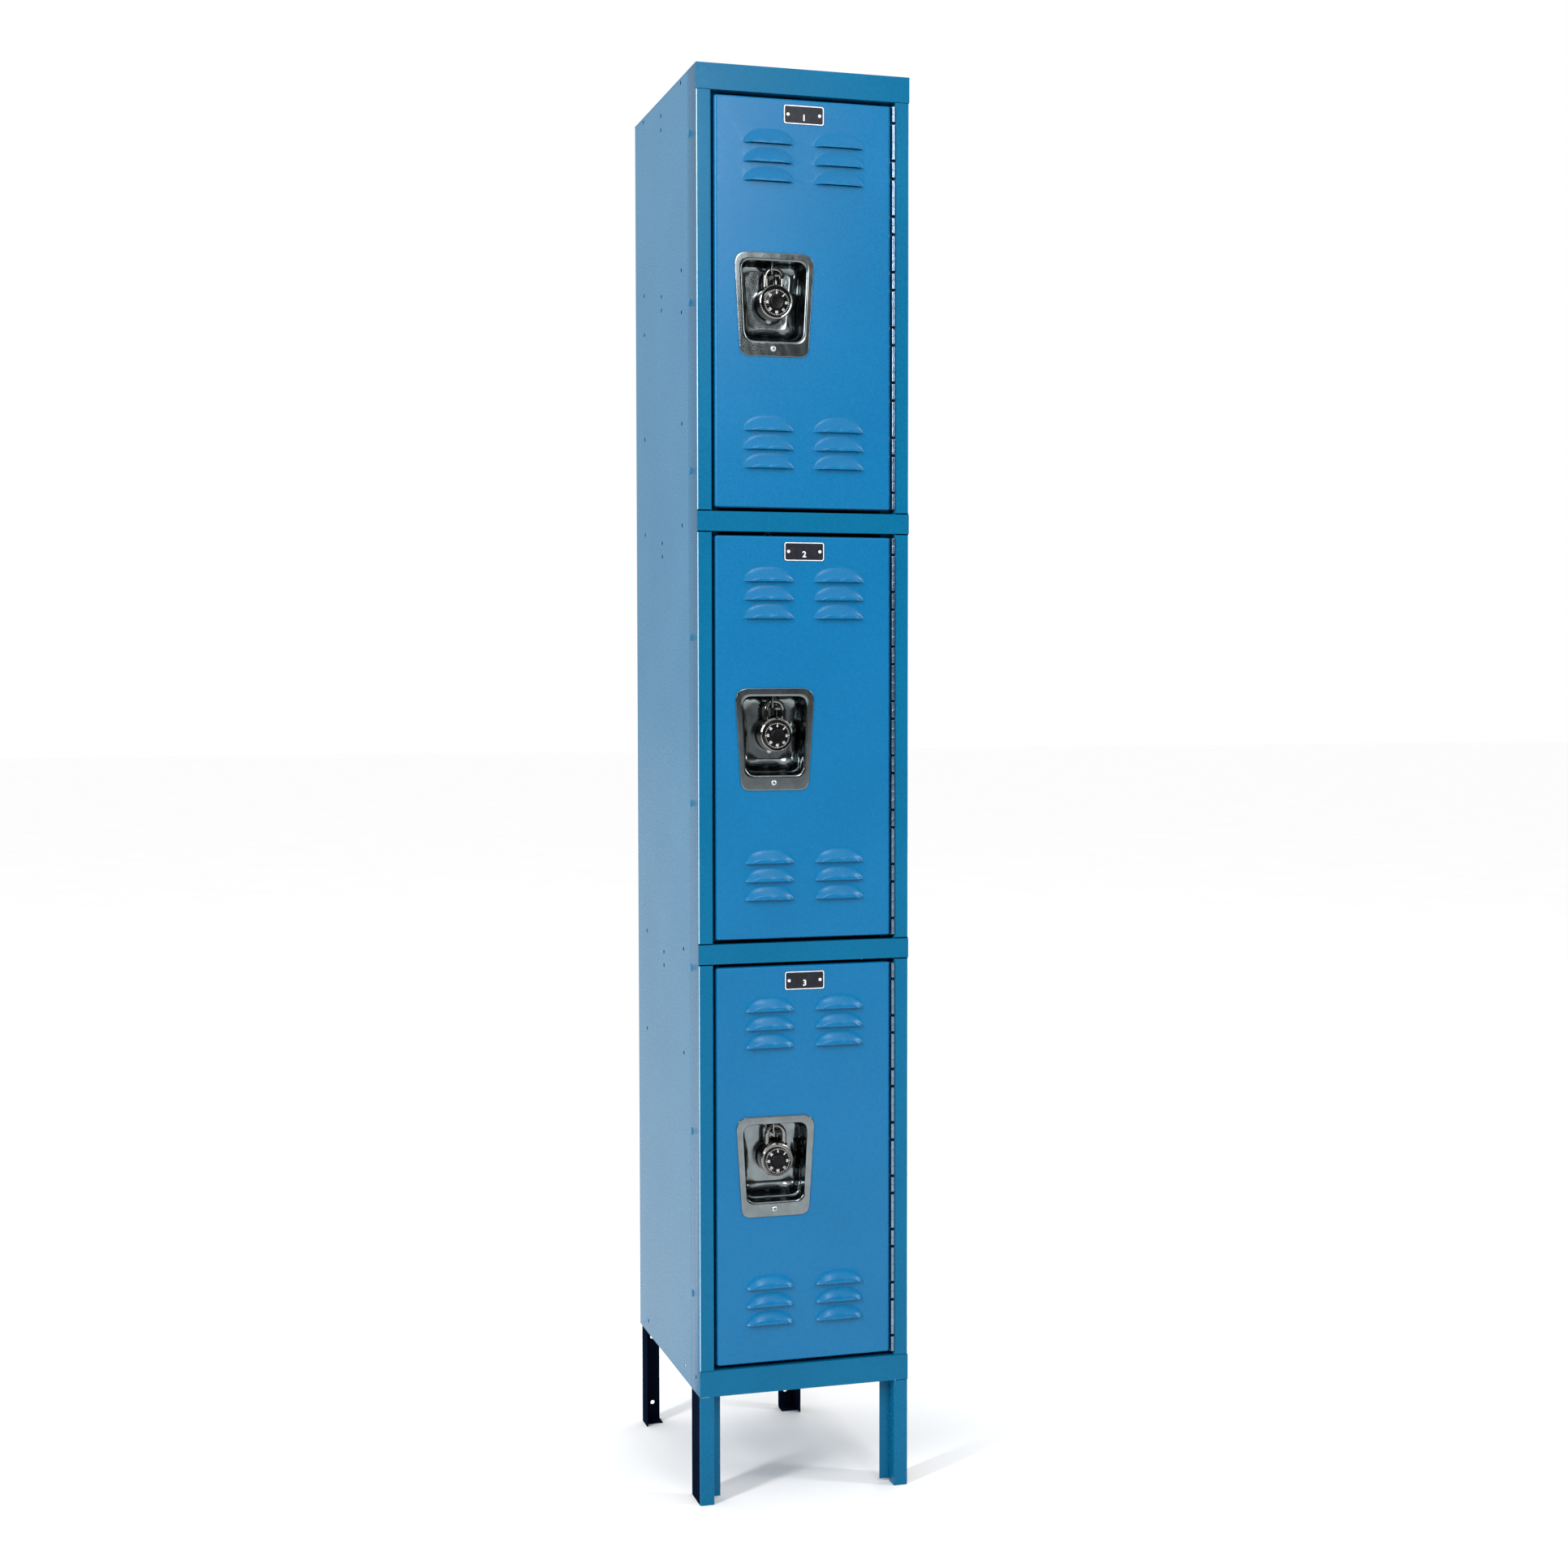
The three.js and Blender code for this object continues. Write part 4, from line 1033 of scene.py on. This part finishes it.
def coat_hook(sheet):
    """Two wire prongs on a plate under a shelf."""
    shape = Shape()
    path = []
    for i in range(33):
        x = PRONG_REACH * (i / 16 - 1)
        bend = math.sin(math.pi * (abs(x) / PRONG_REACH) ** 1.4 * 0.86)
        path.append((x, COAT_HOOK_Y, sheet - 14 - PRONG_DROP * bend))
    shape.tube(path, 2.6, 16)
    shape.rings([
        [(HOOK_ROD * math.cos(a), COAT_HOOK_Y + HOOK_ROD * math.sin(a), z) for a in full_turn(20)]
        for z in (sheet - 15, sheet - 1)
    ])
    plate = rounded(-20, 20, COAT_HOOK_Y - 8, COAT_HOOK_Y + 8, 4)
    sections = ((1.0, sheet - 2.0), (0.3, sheet - 1.8), (0, sheet - 1.2), (0, sheet - 0.05))
    shape.rings([[(x, y, z) for x, y in shrunk(plate, inset)] for inset, z in sections])
    for z, facing, inset in ((sheet - 2.0, -1, 1.0), (sheet - 0.05, 1, 0)):
        shape.flat(shrunk(plate, inset), [], lambda x, y, z=z: (x, y, z), (0, 0, facing))
    return shape


def shrunk(outline, inset):
    middle = sum((Vector(point) for point in outline), Vector((0, 0))) / len(outline)
    return [tuple(Vector(point) - (Vector(point) - middle).normalized() * inset) for point in outline]


BUMPER_X = -124
BUMPER_Z = 225


def bumper():
    shape = Shape()
    back, front = STOP_DEPTH - 0.3, PAN_BACK + 0.3
    profile = [(0, back), (4.5, back), (4.5, back - 0.8), (4.2, front + 0.8), (3.7, front + 0.2)]
    shape.turned([*profile, (3.1, front), (0, front)], BUMPER_X, BUMPER_Z, 28)
    return shape


# ---------------------------------------------------------------------------------------- build

NODE_FINISH = {
    "finger_lift": "chrome",
    "latch_bar": "zinc",
    "frame_hook": "zinc",
    "hinge_pin": "leg_shade_and_pin_black",
}
THIN_EDGE = 0.25
THICK_EDGE = 0.6


def dress_cad_nodes():
    """Finishes for the CAD nodes that stay, with a small radius on their edges."""
    for name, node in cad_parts.items():
        finish = next((slot for part, slot in NODE_FINISH.items() if name.endswith(part)), None)
        if finish is None:
            painted_frame = any(word in name for word in ("upright", "header", "rail"))
            # CAD nodes named for legs take the near-black painted shade.
            finish = "frame_paint" if painted_frame else "leg_shade_and_pin_black" if "leg" in name else "body_paint"
        node.data.materials.clear()
        node.data.materials.append(MATERIALS[finish])
        if not name.endswith("hinge_pin"):
            thin = "shelf" in name or "panel" in name
            round_edges(node, THIN_EDGE if thin else THICK_EDGE)


def build_tier(tier):
    middle = DOOR_MIDDLE[tier]
    door, prefix = f"door_{tier}", f"door_{tier}_"
    door_pan().build(prefix + "pan", door, "door_paint", middle, replaces=[prefix + "panel"],
                     thickness=DOOR_GAUGE, bevel=0.25)
    handle_cup().build(prefix + "cup", door, "stainless", middle, replaces=[prefix + "handle_cup"],
                       thickness=CUP_GAUGE, sharp=50)
    staple().build(prefix + "staple", door, "stainless", middle, bevel=0.3)
    cup_screw().build(prefix + "screw", door, "zinc", middle, replaces=[prefix + "cup_screw"])
    # A black cross in the screw head: painted shade for its recess.
    cross_recess().build(prefix + "screw_recess_shade", door, "zinc", middle, material="dial_black")
    cup_rivet().build(prefix + "cup_rivet", door, "zinc", middle)
    plate_ground().build(prefix + "plate", door, "plate", middle, replaces=[prefix + "number_plate"])
    plate_trim(tier).build(prefix + "plate_trim", door, "plate", middle, material="plate_silver")
    hinge_leaf(1, frame_knuckles).build(prefix + "frame_leaf", "cabinet", "hinge_paint", middle,
                                        replaces=[prefix + "hinge_frame_leaf"])
    hinge_leaf(-1, door_knuckles).build(prefix + "door_leaf", door, "hinge_paint", middle,
                                        replaces=[prefix + "hinge_door_leaf"])
    bumper().build(prefix + "stop_bumper", "cabinet", "rubber", middle, replaces=[prefix + "bumper"])
    shackle().build(prefix + "shackle", f"shackle_{tier}", "chrome", middle,
                    replaces=[prefix + "padlock_shackle"])
    case_body = f"lock_case_{tier}"
    lock_case().build(prefix + "lock_case", case_body, "chrome", middle,
                      replaces=[prefix + "padlock_case"])
    bore_collars().build(prefix + "lock_bore_shade", case_body, "chrome", middle, material="dial_black")
    index_mark().build(prefix + "lock_index_shade", case_body, "chrome", middle, material="dial_black")
    dial().build(prefix + "dial", f"dial_{tier}", "dial_black", middle,
                 replaces=[prefix + "padlock_dial"])
    dial_marks().build(prefix + "dial_marks", f"dial_{tier}", "dial_black", middle,
                       material="dial_white")


def build_cabinet():
    for name, side in (("left", -1), ("right", 1)):
        upright(side).build(f"{name}_post", "cabinet", "frame_paint", replaces=[f"{name}_upright"],
                            thickness=FRAME_GAUGE)
        # The painted highlight strip along each upright's outer bend.
        upright_edge(side).build(f"{name}_painted_edge_highlight", "cabinet", "frame_paint", material="painted_edge_highlight")
        # The front legs' side flanges in near-black paint: painted shade.
        leg_side(side).build(f"{name}_leg_side", "cabinet", "frame_paint", material="leg_shade_and_pin_black",
                             thickness=FRAME_GAUGE)
        rear = f"rear_{name}_leg"
        # The rear legs take the near-black paint as painted shade.
        rear_leg(rear, side).build(f"rear_{name}_angle", "cabinet", "frame_paint", material="leg_shade_and_pin_black",
                                   replaces=[rear], thickness=LEG_GAUGE)
        side_panel(side).build(f"{name}_side", "cabinet", "body_paint", replaces=[f"{name}_side_panel"],
                               thickness=BODY_GAUGE)
        seam_bolts(side).build(f"{name}_seam_bolts", "cabinet", "body_paint")
    for tier in TIERS:
        node = f"coat_hook_{tier}"
        coat_hook(span(node)[1].z).build(f"coat_hooks_{tier}", "cabinet", "zinc", replaces=[node])


dress_cad_nodes()
build_cabinet()
for tier in TIERS:
    build_tier(tier)

# --------------------------------------------------------------------- floor, light and camera

# From here on, sizes are metres in the shared frame.
STAGE_HALF = 30
STAGE_DROP = 0.0002
# Name, place, aim, size and power in watts.
SOFTBOXES = (
    ("left_flat", (-3.2, -2.2, 2.9), (0, 0, 1.6), (0.4, 2.2), 140),
    ("right_flat", (3.2, -1.8, 2.7), (0, 0, 1.5), (0.4, 2.2), 62),
    ("front_flat", (0.37, -3.6, 2.7), (0, 0, 1.8), (0.7, 0.8), 30),
)
# Each grading: where it starts and ends along its direction, and its light there.
SKY_SPAN, SKY_LIGHT = (0.25, 0.6), (0.0, 1.5)
REAR_SPAN, REAR_LIGHT = (-0.1, 0.7), (0.05, 0.85)
FOCAL_LENGTH = 51.826
CAMERA_PLACE = (-0.9012, -3.1853, 1.1549)
CAMERA_TURN = (87.228, 0.076, -16.211)


def stage_floor():
    mesh = bpy.data.meshes.new("floor")
    sheet = rectangle(-STAGE_HALF, STAGE_HALF, -STAGE_HALF, STAGE_HALF)
    mesh.from_pydata([(x, y, -STAGE_DROP) for x, y in sheet], [], [(0, 1, 2, 3)])
    floor = bpy.data.objects.new("floor", mesh)
    bpy.context.scene.collection.objects.link(floor)
    look = Look("studio_floor", Roughness=0.6, Specular_IOR_Level=0.2)
    look.drive("Base Color", look.blend(look.noise(300, 3), (0.79, 0.79, 0.79), (0.80, 0.80, 0.80)))
    mesh.materials.append(look.material)


def softbox(name, place, target, size, power):
    lamp = bpy.data.lights.new(name, "AREA")
    lamp.shape = "RECTANGLE"
    lamp.size, lamp.size_y = size
    lamp.energy = power
    box = bpy.data.objects.new(name, lamp)
    box.location = place
    box.rotation_euler = (Vector(target) - Vector(place)).to_track_quat("-Z", "Y").to_euler()
    bpy.context.scene.collection.objects.link(box)


def studio_world():
    """White behind the object, and a graded studio that lights it from above and from the rear."""
    world = bpy.data.worlds.new("studio")
    world.use_nodes = True
    tree = world.node_tree
    nodes, link = tree.nodes, tree.links.new
    seen = nodes["Background"]
    seen.inputs["Color"].default_value = (1, 1, 1, 1)
    seen.inputs["Strength"].default_value = 1.0
    lit = nodes.new("ShaderNodeBackground")
    place = nodes.new("ShaderNodeTexCoord").outputs["Generated"]
    split = nodes.new("ShaderNodeSeparateXYZ")
    link(place, split.inputs[0])
    above = graded(nodes, link, split.outputs["Z"], SKY_SPAN, SKY_LIGHT)
    behind = graded(nodes, link, split.outputs["Y"], REAR_SPAN, REAR_LIGHT)
    total = nodes.new("ShaderNodeMath")
    link(above, total.inputs[0])
    link(behind, total.inputs[1])
    link(total.outputs[0], lit.inputs["Strength"])
    choose = nodes.new("ShaderNodeMixShader")
    link(nodes.new("ShaderNodeLightPath").outputs["Is Camera Ray"], choose.inputs["Fac"])
    link(lit.outputs[0], choose.inputs[1])
    link(seen.outputs[0], choose.inputs[2])
    link(choose.outputs[0], nodes["World Output"].inputs["Surface"])
    bpy.context.scene.world = world


def graded(nodes, link, value, start_end, levels):
    """A smooth change of level as the value goes from start to end."""
    ramp = nodes.new("ShaderNodeMapRange")
    ramp.interpolation_type = "SMOOTHSTEP"
    ramp.inputs["From Min"].default_value, ramp.inputs["From Max"].default_value = start_end
    ramp.inputs["To Min"].default_value, ramp.inputs["To Max"].default_value = levels
    link(value, ramp.inputs["Value"])
    return ramp.outputs["Result"]


def photo_camera():
    lens = bpy.data.cameras.new("camera")
    lens.lens = FOCAL_LENGTH
    lens.sensor_width = 36
    lens.clip_end = 100
    camera = bpy.data.objects.new("camera", lens)
    camera.location = CAMERA_PLACE
    camera.rotation_euler = [math.radians(turn) for turn in CAMERA_TURN]
    bpy.context.scene.collection.objects.link(camera)
    bpy.context.scene.camera = camera


stage_floor()
for flat in SOFTBOXES:
    softbox(*flat)
studio_world()
photo_camera()
bpy.context.scene.view_settings.view_transform = "Standard"
